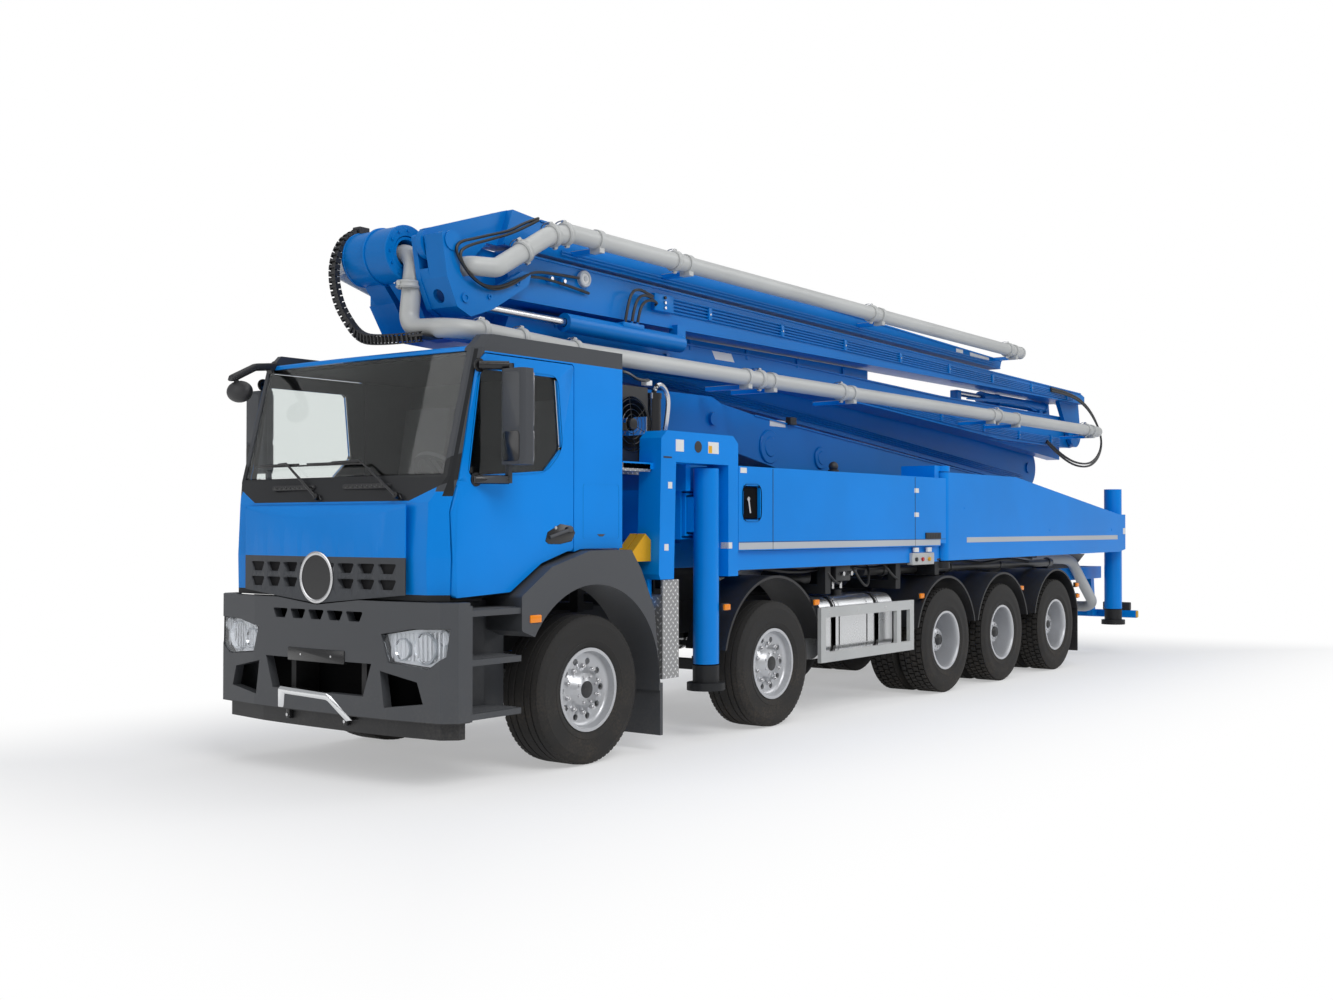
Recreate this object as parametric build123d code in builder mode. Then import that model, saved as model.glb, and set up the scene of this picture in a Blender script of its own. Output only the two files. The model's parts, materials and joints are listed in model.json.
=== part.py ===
"""Five-axle truck with a five-section concrete placing boom, stowed for the road.

Origin: the middle of the truck, on the ground. +X is forward, +Y is the driver's left, +Z is up.
All sizes are in millimetres.
"""

import os
from math import cos, radians, sin

from build123d import *

# ---------------------------------------------------------------- driving dimensions
HALF_LENGTH = 6310
AXLE_X = (4850, 2500, -580, -1920, -3400)  # front to rear; the first two steer
TYRE_R = 536
RIM_R = 292
SINGLE_Y = 1010  # middle of a wide single tyre, on the two steered axles
TWIN_Y, TWIN_SPACING = 1094, 345
KINGPIN_Y = 780
HAND_HOLE_RING, HAND_HOLE_R = 206, 24

RAIL_Z = (780, 1060)
RAIL_OUTER_Y = 425
RAIL_WEB, RAIL_FLANGE = 10, 80
RAIL_X = (-4500, 6000)

CAB_HALF_WIDTH = 1150
CAB_WALL = 45
CAB_REAR = 4450
ROOF_Z, ROOF_RAIL_Z = 2900, 2985

# boom: pins named by the two pieces they join, as (x, z)
FOOT_PIN = (2290, 2670)
PIN_AB = (-5200, 2490)
PIN_BC = (5800, 3610)
PIN_CD = (-5700, 2965)
PIN_DE = (5810, 3650)
BOOM_TIP_X = -3150
SLEW_X = 2450
PIPE_R, CLAMP_R = 67.5, 80
PIPE_C_Y, PIPE_E_Y, PIPE_FAR_Y, PIPE_A_Y = 900, 900, -475, -640
SWIVEL_Y = -555  # where the pipes of neighbouring sections meet, on the far side

# front outriggers: curved beams that telescope along a circle seen from above
ARC_R = 3500
LEG_X, LEG_Y = 3350, 1100
ARC_X = LEG_X + ARC_R
GUIDE_Z = {1: (1600, 2000), -1: (1180, 1580)}  # left beam runs above the right one
REAR_HINGE = (-690, 1130)
REAR_LEG = (-5890, 1000)
SHOE_Z = 390
DELIVERY_Y, DELIVERY_Z = 500, 1290

SIDES = (("left", 1), ("right", -1))


# ---------------------------------------------------------------- shape helpers
def block(x, y, z, mode=Mode.ADD):
    """Adds a box between pairs of x, y and z values."""
    with Locations(((x[0] + x[1]) / 2, (y[0] + y[1]) / 2, (z[0] + z[1]) / 2)):
        Box(abs(x[1] - x[0]), abs(y[1] - y[0]), abs(z[1] - z[0]), mode=mode)


def slab(outline, y, mode=Mode.ADD, rounding=0):
    """Adds a side-view outline of (x, z) points, as thick as the pair of y values."""
    low, high = min(y), max(y)
    with BuildSketch(Plane.XZ.offset(-low)) as face:
        with BuildLine():
            Polyline(*outline, close=True)
        make_face()
        if rounding:
            fillet(face.vertices(), rounding)
    extrude(face.sketch, amount=-(high - low), mode=mode)


def disc(centre, radius, y, mode=Mode.ADD):
    """Adds a round boss about a cross pin at (x, z), between two y values."""
    low, high = min(y), max(y)
    with BuildSketch(Plane.XZ.offset(-low)) as face:
        with Locations(centre):
            Circle(radius)
    extrude(face.sketch, amount=-(high - low), mode=mode)


def post(x, y, radius, z, mode=Mode.ADD):
    """Adds an upright cylinder."""
    with BuildSketch(Plane.XY.offset(z[0])) as face:
        with Locations((x, y)):
            Circle(radius)
    extrude(face.sketch, amount=z[1] - z[0], mode=mode)


def rod(start, end, radius, mode=Mode.ADD):
    """Adds a cylinder between two points."""
    run = Vector(*end) - Vector(*start)
    with BuildSketch(Plane(origin=start, z_dir=run)) as face:
        Circle(radius)
    extrude(face.sketch, amount=run.length, mode=mode)


def pipe(points, bends, radius):
    """Adds a round pipe along straight runs joined by arcs."""
    with BuildLine() as route:
        FilletPolyline(*points, radius=bends)
    with BuildSketch(Plane(origin=route.line @ 0, z_dir=route.line % 0)) as face:
        Circle(radius)
    sweep(face.sketch, path=route.line)


def turned(profile, x, z=TYRE_R, mode=Mode.ADD):
    """Adds a shape turned about a cross axle, from (radius, y) points."""
    with BuildSketch(Plane(origin=(x, 0, z))) as face:
        with BuildLine():
            Polyline(*profile, close=True)
        make_face()
    revolve(face.sketch, axis=Axis((x, 0, z), (0, 1, 0)), mode=mode)


def both_sides(span):
    """The pair of y values on the left, then on the right."""
    return [(side * span[0], side * span[1]) for _, side in SIDES]


def finish(piece, name):
    piece.label = name
    export_step(piece, f"parts/{name}.step")


os.makedirs("parts", exist_ok=True)

# ---------------------------------------------------------------- chassis
with BuildPart() as chassis_frame:
    for _, side in SIDES:
        web = (side * (RAIL_OUTER_Y - RAIL_WEB), side * RAIL_OUTER_Y)
        flange = (side * (RAIL_OUTER_Y - RAIL_FLANGE), side * RAIL_OUTER_Y)
        block(RAIL_X, web, RAIL_Z)
        block(RAIL_X, flange, (RAIL_Z[0], RAIL_Z[0] + RAIL_WEB))
        block(RAIL_X, flange, (RAIL_Z[1] - RAIL_WEB, RAIL_Z[1]))
    for cross_x in (5900, 4250, 3250, 1500, 300, -1250, -2660, -4400):
        block((cross_x - 45, cross_x + 45), (-416, 416), (RAIL_Z[0] + 30, RAIL_Z[1] - 30))
finish(chassis_frame.part, "chassis_frame")

with BuildPart() as engine:
    block((4950, 5840), (-330, 330), (700, 1210))
finish(engine.part, "engine")

# steered axles: beam, leaf springs and kingpins
with BuildPart() as front_axles:
    for axle_x in AXLE_X[:2]:
        for _, side in SIDES:
            block((axle_x - 50, axle_x + 50), (side * 340, side * 735), (470, 560))
            post(axle_x, side * KINGPIN_Y, 48, (470, 602))
            post(axle_x, side * KINGPIN_Y, 18, (412, 660))
            block((axle_x - 40, axle_x + 40), (side * 345, side * 425), (560, 640))
            slab(
                [(axle_x - 800, 760), (axle_x - 60, 640), (axle_x + 60, 640), (axle_x + 800, 760),
                 (axle_x + 800, 779), (axle_x, 690), (axle_x - 800, 779)],
                (side * 345, side * 425),
            )
        block((axle_x - 50, axle_x + 50), (-345, 345), (440, 530))
finish(front_axles.part, "front_axles")

with BuildPart() as rear_axles:
    for axle_x in AXLE_X[2:]:
        rod((axle_x, -560, TYRE_R), (axle_x, 560, TYRE_R), 75)
        rod((axle_x, -1000, TYRE_R), (axle_x, 1000, TYRE_R), 44)
        with Locations((axle_x, 0, TYRE_R)):
            Sphere(210)
        for _, side in SIDES:
            block((axle_x - 70, axle_x + 70), (side * 350, side * 430), (TYRE_R + 40, 779))
finish(rear_axles.part, "rear_axles")

# knuckles: two lugs over and under the beam's eye, a back plate, the spindle and the steering arm
STEERED = (("front", AXLE_X[0]), ("second", AXLE_X[1]))
for axle_name, axle_x in STEERED:
    for side_name, side in SIDES:
        with BuildPart() as knuckle:
            for lug_z in ((404, 462), (610, 668)):
                block((axle_x - 60, axle_x + 60), (side * 730, side * 880), lug_z)
            block((axle_x - 60, axle_x + 60), (side * 845, side * 880), (404, 668))
            post(axle_x, side * KINGPIN_Y, 19, (400, 670), mode=Mode.SUBTRACT)
            rod((axle_x, side * 880, TYRE_R), (axle_x, side * 1090, TYRE_R), 45)
            block((axle_x - 250, axle_x - 60), (side * 735, side * 765), (415, 445))
        finish(knuckle.part, f"{axle_name}_{side_name}_knuckle")

# wheels: tyre, rim and hub; profiles run as (radius, distance outward from the tyre's middle)
SINGLE_TYRE = [(RIM_R - 2, -150), (340, -184), (460, -190), (505, -178), (530, -150), (TYRE_R, -110),
               (TYRE_R, 110), (530, 150), (505, 178), (460, 190), (340, 184), (RIM_R - 2, 150)]
TWIN_TYRE = [(RIM_R - 2, -118), (345, -148), (455, -153), (505, -143), (530, -122), (TYRE_R, -95),
             (TYRE_R, 95), (530, 122), (505, 143), (455, 153), (345, 148), (RIM_R - 2, 118)]
# convex disc of a steered wheel, with its hub cap reaching out to the tyre's face
CONVEX_RIM = [(46, -120), (110, -120), (110, 60), (150, 75), (235, 75), (262, 30), (268, -120), (280, -172),
              (300, -172), (300, -160), (RIM_R - 4, -145), (284, 0), (RIM_R - 4, 145), (300, 160), (300, 172),
              (276, 172), (262, 110), (236, 98), (152, 98), (118, 98), (118, 150), (0, 150), (0, 90), (46, 90)]

def wheel_pieces(profile, x, middle_y, side):
    """Turns a profile whose second value is the distance outward from the tyre's middle."""
    turned([(radius, side * (middle_y + out)) for radius, out in profile], x)


def hand_holes(x, y):
    """Cuts the ring of openings in a rim's disc, between two y values."""
    with BuildSketch(Plane.XZ.offset(-min(y))) as ring:
        with Locations((x, TYRE_R)):
            with PolarLocations(HAND_HOLE_RING, 10):
                Circle(HAND_HOLE_R)
    extrude(ring.sketch, amount=-abs(y[1] - y[0]), mode=Mode.SUBTRACT)


for axle_name, axle_x in STEERED:
    for side_name, side in SIDES:
        with BuildPart() as wheel:
            wheel_pieces(SINGLE_TYRE, axle_x, SINGLE_Y, side)
            wheel_pieces(CONVEX_RIM, axle_x, SINGLE_Y, side)
            hand_holes(axle_x, (side * (SINGLE_Y + 60), side * (SINGLE_Y + 130)))
        finish(wheel.part, f"{axle_name}_{side_name}_wheel")

# a twin wheel's hub carries an outer and an inner rim
TWIN_HUB = [(46, -300), (130, -300), (130, -215), (252, -215), (266, -225), (270, -455), (282, -484), (300, -484),
            (300, -470), (RIM_R - 4, -456), (284, -345), (RIM_R - 4, -234), (300, -220), (300, -208), (284, -200),
            (284, -172), (284, -145), (300, -139), (300, -125), (RIM_R - 4, -110), (284, 0), (RIM_R - 4, 108),
            (300, 125), (300, 139), (278, 139), (268, 120), (266, -130), (250, -160), (150, -170), (122, -170),
            (122, 20), (100, 40), (0, 40), (0, -85), (46, -85)]
for axle_name, axle_x in (("third", AXLE_X[2]), ("fourth", AXLE_X[3]), ("fifth", AXLE_X[4])):
    for side_name, side in SIDES:
        with BuildPart() as wheel:
            wheel_pieces(TWIN_TYRE, axle_x, TWIN_Y, side)
            wheel_pieces(TWIN_TYRE, axle_x, TWIN_Y - TWIN_SPACING, side)
            wheel_pieces(TWIN_HUB, axle_x, TWIN_Y, side)
            hand_holes(axle_x, (side * (TWIN_Y - 180), side * (TWIN_Y - 110)))
        finish(wheel.part, f"{axle_name}_{side_name}_wheels")

# ---------------------------------------------------------------- cab
# plan sections of the cab: height, foremost x, then how far back and inward its front corner starts and ends,
# and how far the middle bows forward
CAB_SECTIONS = (
    (1221, 6232, (140, 0), (20, 150), 12), (1500, 6238, (140, 0), (20, 150), 12),
    (1860, 6222, (140, 0), (20, 150), 12), (2030, 6140, (55, 0), (15, 60), 25),
    (2890, 5925, (55, 0), (15, 60), 25), (ROOF_RAIL_Z, 5835, (55, 0), (15, 60), 25),
)
CAB_LOWER_EDGE = [(4300, 1545), (4900, 1545), (5300, 1440), (5600, 1250), (5700, 1221), (6500, 1221)]
DOOR = [(4985, 1535), (4985, 2850), (5850, 2850), (5905, 2790), (6080, 2000), (6112, 1800), (6112, 1240),
        (5610, 1262), (5310, 1450), (5050, 1528)]
DOOR_WINDOW = [(5892, 2705), (5990, 2035), (5272, 2090), (5109, 2250), (5157, 2747), (5870, 2747)]
DOOR_SILL = [(4985, 1200), (4985, 1600), (5310, 1500), (5610, 1320), (6112, 1300), (6112, 1200)]
DOOR_GAP = 8


def cab_form(inset=0, mode=Mode.ADD):
    """Lofts the cab's outer form, or one so far inside it."""
    sections = []
    for z, front, start, end, bow in CAB_SECTIONS:
        nose, side_y = front - inset, CAB_HALF_WIDTH - inset
        with BuildSketch(Plane.XY.offset(min(z, ROOF_RAIL_Z - inset))) as plan:
            with BuildLine():
                Polyline((nose - end[0], -side_y + end[1]), (nose - start[0], -side_y), (CAB_REAR + inset, -side_y),
                         (CAB_REAR + inset, side_y), (nose - start[0], side_y), (nose - end[0], side_y - end[1]))
                ThreePointArc((nose - end[0], side_y - end[1]), (nose + bow, 0), (nose - end[0], -side_y + end[1]))
            make_face()
        sections.append(plan.sketch.face())
    loft(sections, ruled=True, mode=mode)


def outlined(outline, y, grow, mode):
    """Cuts or keeps a side-view outline, grown or shrunk all round."""
    with BuildSketch(Plane.XZ.offset(-min(y))) as face:
        with BuildLine():
            Polyline(*outline, close=True)
        make_face()
        fillet(face.vertices(), 24)
        if grow:
            offset(amount=grow)
    extrude(face.sketch, amount=-abs(y[1] - y[0]), mode=mode)


with BuildPart() as cab_inside:
    cab_form(CAB_WALL)
    slab([(4300, 1590), (5250, 1590), (5560, 1300), (6500, 1270), (6500, 2855), (4300, 2855)], (-1300, 1300),
         mode=Mode.INTERSECT)

with BuildPart() as cab_shell:
    cab_form()
    slab(CAB_LOWER_EDGE + [(6500, 3100), (4300, 3100)], (-1300, 1300), mode=Mode.INTERSECT)
    add(cab_inside.part, mode=Mode.SUBTRACT)
    # roof lowered between the side rails, so that the boom pipe passes over it
    block((CAB_REAR - 10, 6100), (-1040, 1040), (ROOF_Z, 3100), mode=Mode.SUBTRACT)
    # windscreen opening, door openings and the sill that the doors cover
    slab([(5780, 2868), (6010, 2868), (6260, 2045), (6000, 2045)], (-1050, 1050), mode=Mode.SUBTRACT)
    for door_side in both_sides((1000, 1200)):
        outlined(DOOR, door_side, DOOR_GAP, Mode.SUBTRACT)
        outlined(DOOR_SILL, door_side, DOOR_GAP, Mode.SUBTRACT)
finish(cab_shell.part, "cab_shell")

with BuildPart() as windscreen:
    cab_form(8)
    cab_form(16, mode=Mode.SUBTRACT)
    slab([(5830, 2862), (6000, 2862), (6240, 2051), (6030, 2051)], (-1044, 1044), mode=Mode.INTERSECT)
finish(windscreen.part, "windscreen")

for side_name, side in SIDES:
    door_side = (side * (CAB_HALF_WIDTH - 70), side * (CAB_HALF_WIDTH + 50))
    with BuildPart() as door:
        cab_form()
        add(cab_inside.part, mode=Mode.SUBTRACT)
        outlined(DOOR, door_side, 0, Mode.INTERSECT)
        slab(DOOR_WINDOW, door_side, mode=Mode.SUBTRACT, rounding=24)
        # mirror on its two arms
        block((5860, 5985), (side * 1270, side * 1480), (2110, 2740))
        fillet(door.edges().filter_by(Axis.Z).filter_by(lambda edge: abs(edge.center().Y) > 1260), 38)
        block((5880, 5925), (side * 1148, side * 1300), (2750, 2785))
        block((5900, 5960), (side * 1148, side * 1300), (1990, 2035))
        block((5890, 5925), (side * 1265, side * 1295), (1990, 2784))
    finish(door.part, f"{side_name}_door")

    with BuildPart() as door_window:
        with BuildSketch(Plane.XZ.offset(-min(side * 1124, side * 1130))) as pane:
            with BuildLine():
                Polyline(*DOOR_WINDOW, close=True)
            make_face()
            fillet(pane.vertices(), 24)
            offset(amount=-1)
        extrude(pane.sketch, amount=-6)
    finish(door_window.part, f"{side_name}_door_window")

with BuildPart() as cab_interior:
    for _, side in SIDES:
        slab(
            [(4720, 1590), (5240, 1590), (5260, 1960), (5230, 2010), (4860, 1990), (4760, 2640), (4640, 2620),
             (4700, 1950)],
            (side * 360, side * 860),
        )
    slab([(5800, 1320), (5900, 1300), (6140, 1290), (6120, 1840), (6030, 2010), (5880, 1990), (5840, 1800)],
         (-980, 980), rounding=20)
    rod((5900, 600, 1850), (5700, 600, 2060), 35)
    with BuildSketch(Plane(origin=(5700, 600, 2060), z_dir=(-0.69, 0, 0.72))) as wheel_face:
        Circle(225)
        Circle(190, mode=Mode.SUBTRACT)
        Rectangle(400, 50)
    extrude(wheel_face.sketch, amount=-32)
finish(cab_interior.part, "cab_interior")

BUMPER_PLAN = [(6160, 1240), (6235, 1150), (6290, 700)]  # from the side forward, on the left
BUMPER_Z = (440, 1214)
LAMP_OUTLINE = [(650, 1000), (715, 815), (1050, 785), (1180, 870), (1200, 1050), (900, 1040)]  # as (y, z)
FLAP_HALF_WIDTH = 850
FLAP_FOOT = (1182, 1262)  # height of the flap's lower edge, in the middle and at its ends


def front_face(outline, x, mode):
    """Adds or cuts a front-view outline of (y, z) points between two x values."""
    with BuildSketch(Plane.YZ.offset(x[0])) as face:
        with BuildLine():
            Polyline(*outline, close=True)
        make_face()
    extrude(face.sketch, amount=x[1] - x[0], mode=mode)


def bumper_form(inset, rear, z, mode=Mode.ADD):
    """Adds the bumper's bowed plan, or one so far inside it."""
    points = [(x - inset, y - inset) for x, y in BUMPER_PLAN]
    with BuildSketch(Plane.XY.offset(z[0])) as plan:
        with BuildLine():
            Polyline(points[-1], points[1], points[0], (rear, points[0][1]), (rear, -points[0][1]),
                     *[(x, -y) for x, y in points])
            ThreePointArc((points[-1][0], -points[-1][1]), (6306 - inset, 0), points[-1])
        make_face()
    extrude(plan.sketch, amount=z[1] - z[0], mode=mode)


def grille_row(z, count, x):
    """Cuts a row of openings that are wider at the top."""
    with BuildSketch(Plane.YZ.offset(x[0])) as row:
        with Locations(*[((k - (count - 1) / 2) * 196, z) for k in range(count)]):
            Trapezoid(172, 66, 62, rotation=180)
            fillet(row.vertices(), 9)
    extrude(row.sketch, amount=x[1] - x[0], mode=Mode.SUBTRACT)


with BuildPart() as bumper:
    bumper_form(0, 6060, BUMPER_Z)
    bumper_form(60, 6000, (430, 1300), mode=Mode.SUBTRACT)
    # top edge that dips under the flap, third row of the grille, wide intake and lamp openings
    front_face([(-440, 1216), (0, FLAP_FOOT[0] - 10), (440, 1216), (440, 1300), (-440, 1300)], (6000, 6400),
               Mode.SUBTRACT)
    grille_row(1105, 5, (6200, 6400))
    front_face([(-560, 800), (-480, 580), (480, 580), (560, 800)], (6000, 6400), Mode.SUBTRACT)
    for _, side in SIDES:
        front_face([(side * y, z) for y, z in LAMP_OUTLINE], (6090, 6400), Mode.SUBTRACT)
        front_face([(side * y, z) for y, z in ((640, 760), (680, 520), (1010, 560), (960, 700))], (6090, 6400),
                   Mode.SUBTRACT)
    # shelf behind the intake, bracket plates to the rails, and the skirt below
    block((6090, 6250), (-600, 600), (800, 840))
    for plate_y in both_sides((350, 400)):
        block((6001, 6200), plate_y, (480, 830))
    bumper_form(45, 6060, (330, 445))
    bumper_form(75, 6000, (300, 500), mode=Mode.SUBTRACT)
finish(bumper.part, "bumper")

with BuildPart() as headlights:
    for _, side in SIDES:
        with BuildSketch(Plane.YZ.offset(6110)) as lamp:
            with BuildLine():
                Polyline(*[(side * y, z) for y, z in LAMP_OUTLINE], close=True)
            make_face()
            offset(amount=-6)
        extrude(lamp.sketch, amount=300)
    bumper_form(10, 6000, (700, 1200), mode=Mode.INTERSECT)
finish(headlights.part, "headlights")

with BuildPart() as front_flap:
    with BuildSketch(Plane.XY.offset(1100)) as plan:
        with BuildLine():
            Polyline((6272, -FLAP_HALF_WIDTH), (6256, -FLAP_HALF_WIDTH), (6256, FLAP_HALF_WIDTH),
                     (6272, FLAP_HALF_WIDTH))
            ThreePointArc((6272, FLAP_HALF_WIDTH), (HALF_LENGTH, 0), (6272, -FLAP_HALF_WIDTH))
        make_face()
    extrude(plan.sketch, amount=800)
    slab([(6240, 1100), (6400, 1100), (6400, 1560), (6262, 1850), (6240, 1850)], (-900, 900), mode=Mode.INTERSECT)
    front_face([(-900, FLAP_FOOT[1]), (0, FLAP_FOOT[0]), (900, FLAP_FOOT[1]), (900, 1000), (-900, 1000)],
               (6200, 6400), Mode.SUBTRACT)
    for row_z, count in ((1320, 8), (1425, 8)):
        grille_row(row_z, count, (6268, 6400))
finish(front_flap.part, "front_flap")

with BuildPart() as steps_and_wheel_arches:
    for arch_y in both_sides((860, 1240)):
        slab([(5590, 1000), (5590, 1235), (5300, 1425), (4900, 1532), (4450, 1532), (4335, 1385), (4180, 1080),
              (4100, 450)], arch_y, rounding=25)
        block((4080, 4112), arch_y, (125, 520))
    disc((AXLE_X[0], 560), 730, (-1300, 1300), mode=Mode.SUBTRACT)
    for _, side in SIDES:
        block((5640, 6055), (side * 900, side * 930), (440, 1190))
        for tread_z in (450, 800, 1120):
            block((5585, 6055), (side * 925, side * 1230), (tread_z, tread_z + 40))
        block((6030, 6055), (side * 925, side * 1230), (440, 1190))
finish(steps_and_wheel_arches.part, "steps_and_wheel_arches")

# ---------------------------------------------------------------- support frame and outriggers
def arc_beam(side, half_width, z, start, end, wall=0, mode=Mode.ADD):
    """Adds a beam bent along the outrigger's circle, from one angle past the leg to another."""
    for inner, outer, step_mode in (
        (ARC_R - half_width, ARC_R + half_width, mode),
        (ARC_R - half_width + wall, ARC_R + half_width - wall, Mode.SUBTRACT),
    ):
        if step_mode == Mode.SUBTRACT and not wall:
            continue
        shrink = wall if step_mode == Mode.SUBTRACT else 0
        first, last = start - (1 if shrink else 0), end + (1 if shrink else 0)
        with BuildSketch(Plane.XY.offset(z[0] + shrink)) as face:
            with BuildLine():
                ends = []
                for radius in (inner, outer):
                    arc = [
                        (ARC_X - radius * cos(radians(a)), side * (LEG_Y - radius * sin(radians(a))))
                        for a in (first, (first + last) / 2, last)
                    ]
                    ThreePointArc(*arc)
                    ends.append((arc[0], arc[2]))
                Line(ends[0][0], ends[1][0])
                Line(ends[0][1], ends[1][1])
            make_face()
        extrude(face.sketch, amount=z[1] - z[0] - 2 * shrink, mode=step_mode)


with BuildPart() as support_frame:
    for _, side in SIDES:
        # box beams on the chassis rails
        block((-4560, 4240), (side * 345, side * 425), (1061, 1175))
        # curved guide of the front outrigger
        arc_beam(side, 152, GUIDE_Z[side], 2.4, 34.5, wall=14)
        # lower beam under the side covers and its two carriers
        block((-480, 3080), (side * 1130, side * 1180), (1340, 1500))
        for carrier_x in (200, 1500):
            block((carrier_x, carrier_x + 90), (side * 425, side * 1130), (1090, 1175))
            block((carrier_x, carrier_x + 90), (side * 1040, side * 1130), (1090, 1500))
        # hinge carrier of the rear outrigger
        block((-580, -490), (side * 345, side * 425), (1170, 1210))
        block((-580, -490), (side * 345, side * 1150), (1205, 1330))
        block((-580, -490), (side * 760, side * 1150), (1270, 2330))
        for lug_z in ((1270, 1338), (2272, 2330)):
            block((-690, -490), (side * 1060, side * 1150), lug_z)
            post(REAR_HINGE[0], side * REAR_HINGE[1], 80, lug_z)
        post(REAR_HINGE[0], side * REAR_HINGE[1], 30, (1270, 2330))
    # saddles that carry the two crossing guides
    block((3640, 3740), (345, 425), (1170, 1185))
    block((3370, 3470), (-425, -345), (1170, 1185))
    block((3470, 3570), (-60, 60), (1575, 1605))
    # passage for the delivery line, and the pedestal with its slewing flange
    rod((-700, DELIVERY_Y, DELIVERY_Z), (-400, DELIVERY_Y, DELIVERY_Z), PIPE_R + 8, mode=Mode.SUBTRACT)
    block((1850, 3050), (-425, 425), (1170, 1560))
    post(SLEW_X, 0, 560, (1500, 1640))
    block((3960, 4440), (560, 1150), (2140, 2190))
    block((4350, 4420), (600, 680), (1050, 2141))
    block((4240, 4420), (345, 680), (1061, 1120))
    # arches over the outrigger legs, tied to the guides above and to the box beams below
    for _, side in SIDES:
        slab([(3080, 1300), (3080, 2380), (3150, 2440), (4010, 2440), (4080, 2380), (4110, 1340), (4090, 1300)],
             (side * 1010, side * 1225))
        slab([(3215, 1200), (3215, 2200), (3900, 2200), (3930, 1200)], (side * 1000, side * 1240),
             mode=Mode.SUBTRACT)
        block((3480, 3540), (side * 880, side * 1040), (GUIDE_Z[side][1] - 10, 2210))
        block((4045, 4090), (side * 345, side * 1100), (1090, 1170))
        block((4045, 4090), (side * 1040, side * 1100), (1090, 1310))
finish(support_frame.part, "support_frame")

# rear frame round the hopper, down to the underrun bar
with BuildPart() as rear_frame:
    for _, side in SIDES:
        block((-6080, -4560), (side * 700, side * 760), (1000, 1160))
        block((-4620, -4560), (side * 345, side * 760), (1000, 1160))
        slab([(-6180, 480), (-6080, 480), (-6010, 1000), (-6010, 1100), (-6110, 1100)], (side * 560, side * 640))
        block((-6240, -6170), (side * 560, side * 640), (480, 560))
        rod((-6270, side * 1188, 510), (-6270, side * 1200, 510), 30)
    block((-6080, -6010), (-760, 760), (1000, 1160))
    with BuildSketch(Plane.XZ.offset(-1188)) as bar:
        with Locations((-6270, 510)):
            RectangleRounded(78, 100, 18)
    extrude(bar.sketch, amount=2376)
finish(rear_frame.part, "rear_frame")

for side_name, side in SIDES:
    low, high = GUIDE_Z[side]
    with BuildPart() as outer_beam:
        arc_beam(side, 126, (low + 26, high - 26), 1.95, 33, wall=18)
    finish(outer_beam.part, f"{side_name}_front_outrigger_outer")
    with BuildPart() as inner_beam:
        arc_beam(side, 94, (low + 58, high - 58), 0.9, 31.5)
        post(LEG_X, side * LEG_Y, 105, (600, 2170))
        post(LEG_X, side * LEG_Y, 86, (590, 2100), mode=Mode.SUBTRACT)
    finish(inner_beam.part, f"{side_name}_front_outrigger")
    with BuildPart() as jack:
        post(LEG_X, side * LEG_Y, 80, (450, 2050))
        post(LEG_X, side * LEG_Y, 155, (SHOE_Z, 450))
        post(LEG_X, side * LEG_Y, 108, (450, 590))
    finish(jack.part, f"{side_name}_front_jack")

    with BuildPart() as rear_outrigger:
        slab([(-690, 1350), (-690, 2262), (-2340, 2262), (-5570, 1860), (-5790, 1860), (-5790, 1400), (-5570, 1370)],
             (side * 980, side * 1210))
        post(REAR_HINGE[0], side * REAR_HINGE[1], 80, (1350, 2262))
        post(REAR_HINGE[0], side * REAR_HINGE[1], 32, (1300, 2300), mode=Mode.SUBTRACT)
        post(REAR_LEG[0], side * REAR_LEG[1], 115, (600, 2200))
        post(REAR_LEG[0], side * REAR_LEG[1], 94, (590, 2140), mode=Mode.SUBTRACT)
    finish(rear_outrigger.part, f"{side_name}_rear_outrigger")
    with BuildPart() as jack:
        post(REAR_LEG[0], side * REAR_LEG[1], 88, (450, 2080))
        post(REAR_LEG[0], side * REAR_LEG[1], 155, (SHOE_Z, 450))
        post(REAR_LEG[0], side * REAR_LEG[1], 114, (450, 590))
    finish(jack.part, f"{side_name}_rear_jack")

with BuildPart() as side_covers:
    for _, side in SIDES:
        block((-600, 3070), (side * 1190, side * 1222), (1530, 2200))
        block((-480, 3070), (side * 625, side * 1222), (2170, 2200))
        block((-480, 3070), (side * 1050, side * 1222), (1505, 1535))
        for wall_x in ((-480, -465), (3055, 3070)):
            block(wall_x, (side * 625, side * 1222), (1600, 2200))
    for _, side in SIDES:
        block((2760, 3000), (side * 1180, side * 1230), (1760, 2040), mode=Mode.SUBTRACT)
finish(side_covers.part, "side_covers")

# ---------------------------------------------------------------- body fittings
with BuildPart() as fuel_tanks:
    for tank_y in both_sides((560, 1140)):
        block((380, 1700), tank_y, (500, 1060))
    fillet(fuel_tanks.edges().filter_by(Axis.X), 120)
    for _, side in SIDES:
        for strap_x in (600, 1500):
            block((strap_x, strap_x + 60), (side * 425, side * 570), (790, 880))
finish(fuel_tanks.part, "fuel_tanks")

with BuildPart() as side_guards:
    for _, side in SIDES:
        for bar_z in ((490, 580), (890, 980)):
            block((140, 1850), (side * 1212, side * 1250), bar_z)
        for post_x in (140, 400, 1770):
            block((post_x, post_x + 80), (side * 1212, side * 1250), (490, 980))
        block((1500, 1560), (side * 1141, side * 1213), (890, 930))
        block((600, 660), (side * 1141, side * 1213), (890, 930))
finish(side_guards.part, "side_guards")

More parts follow.
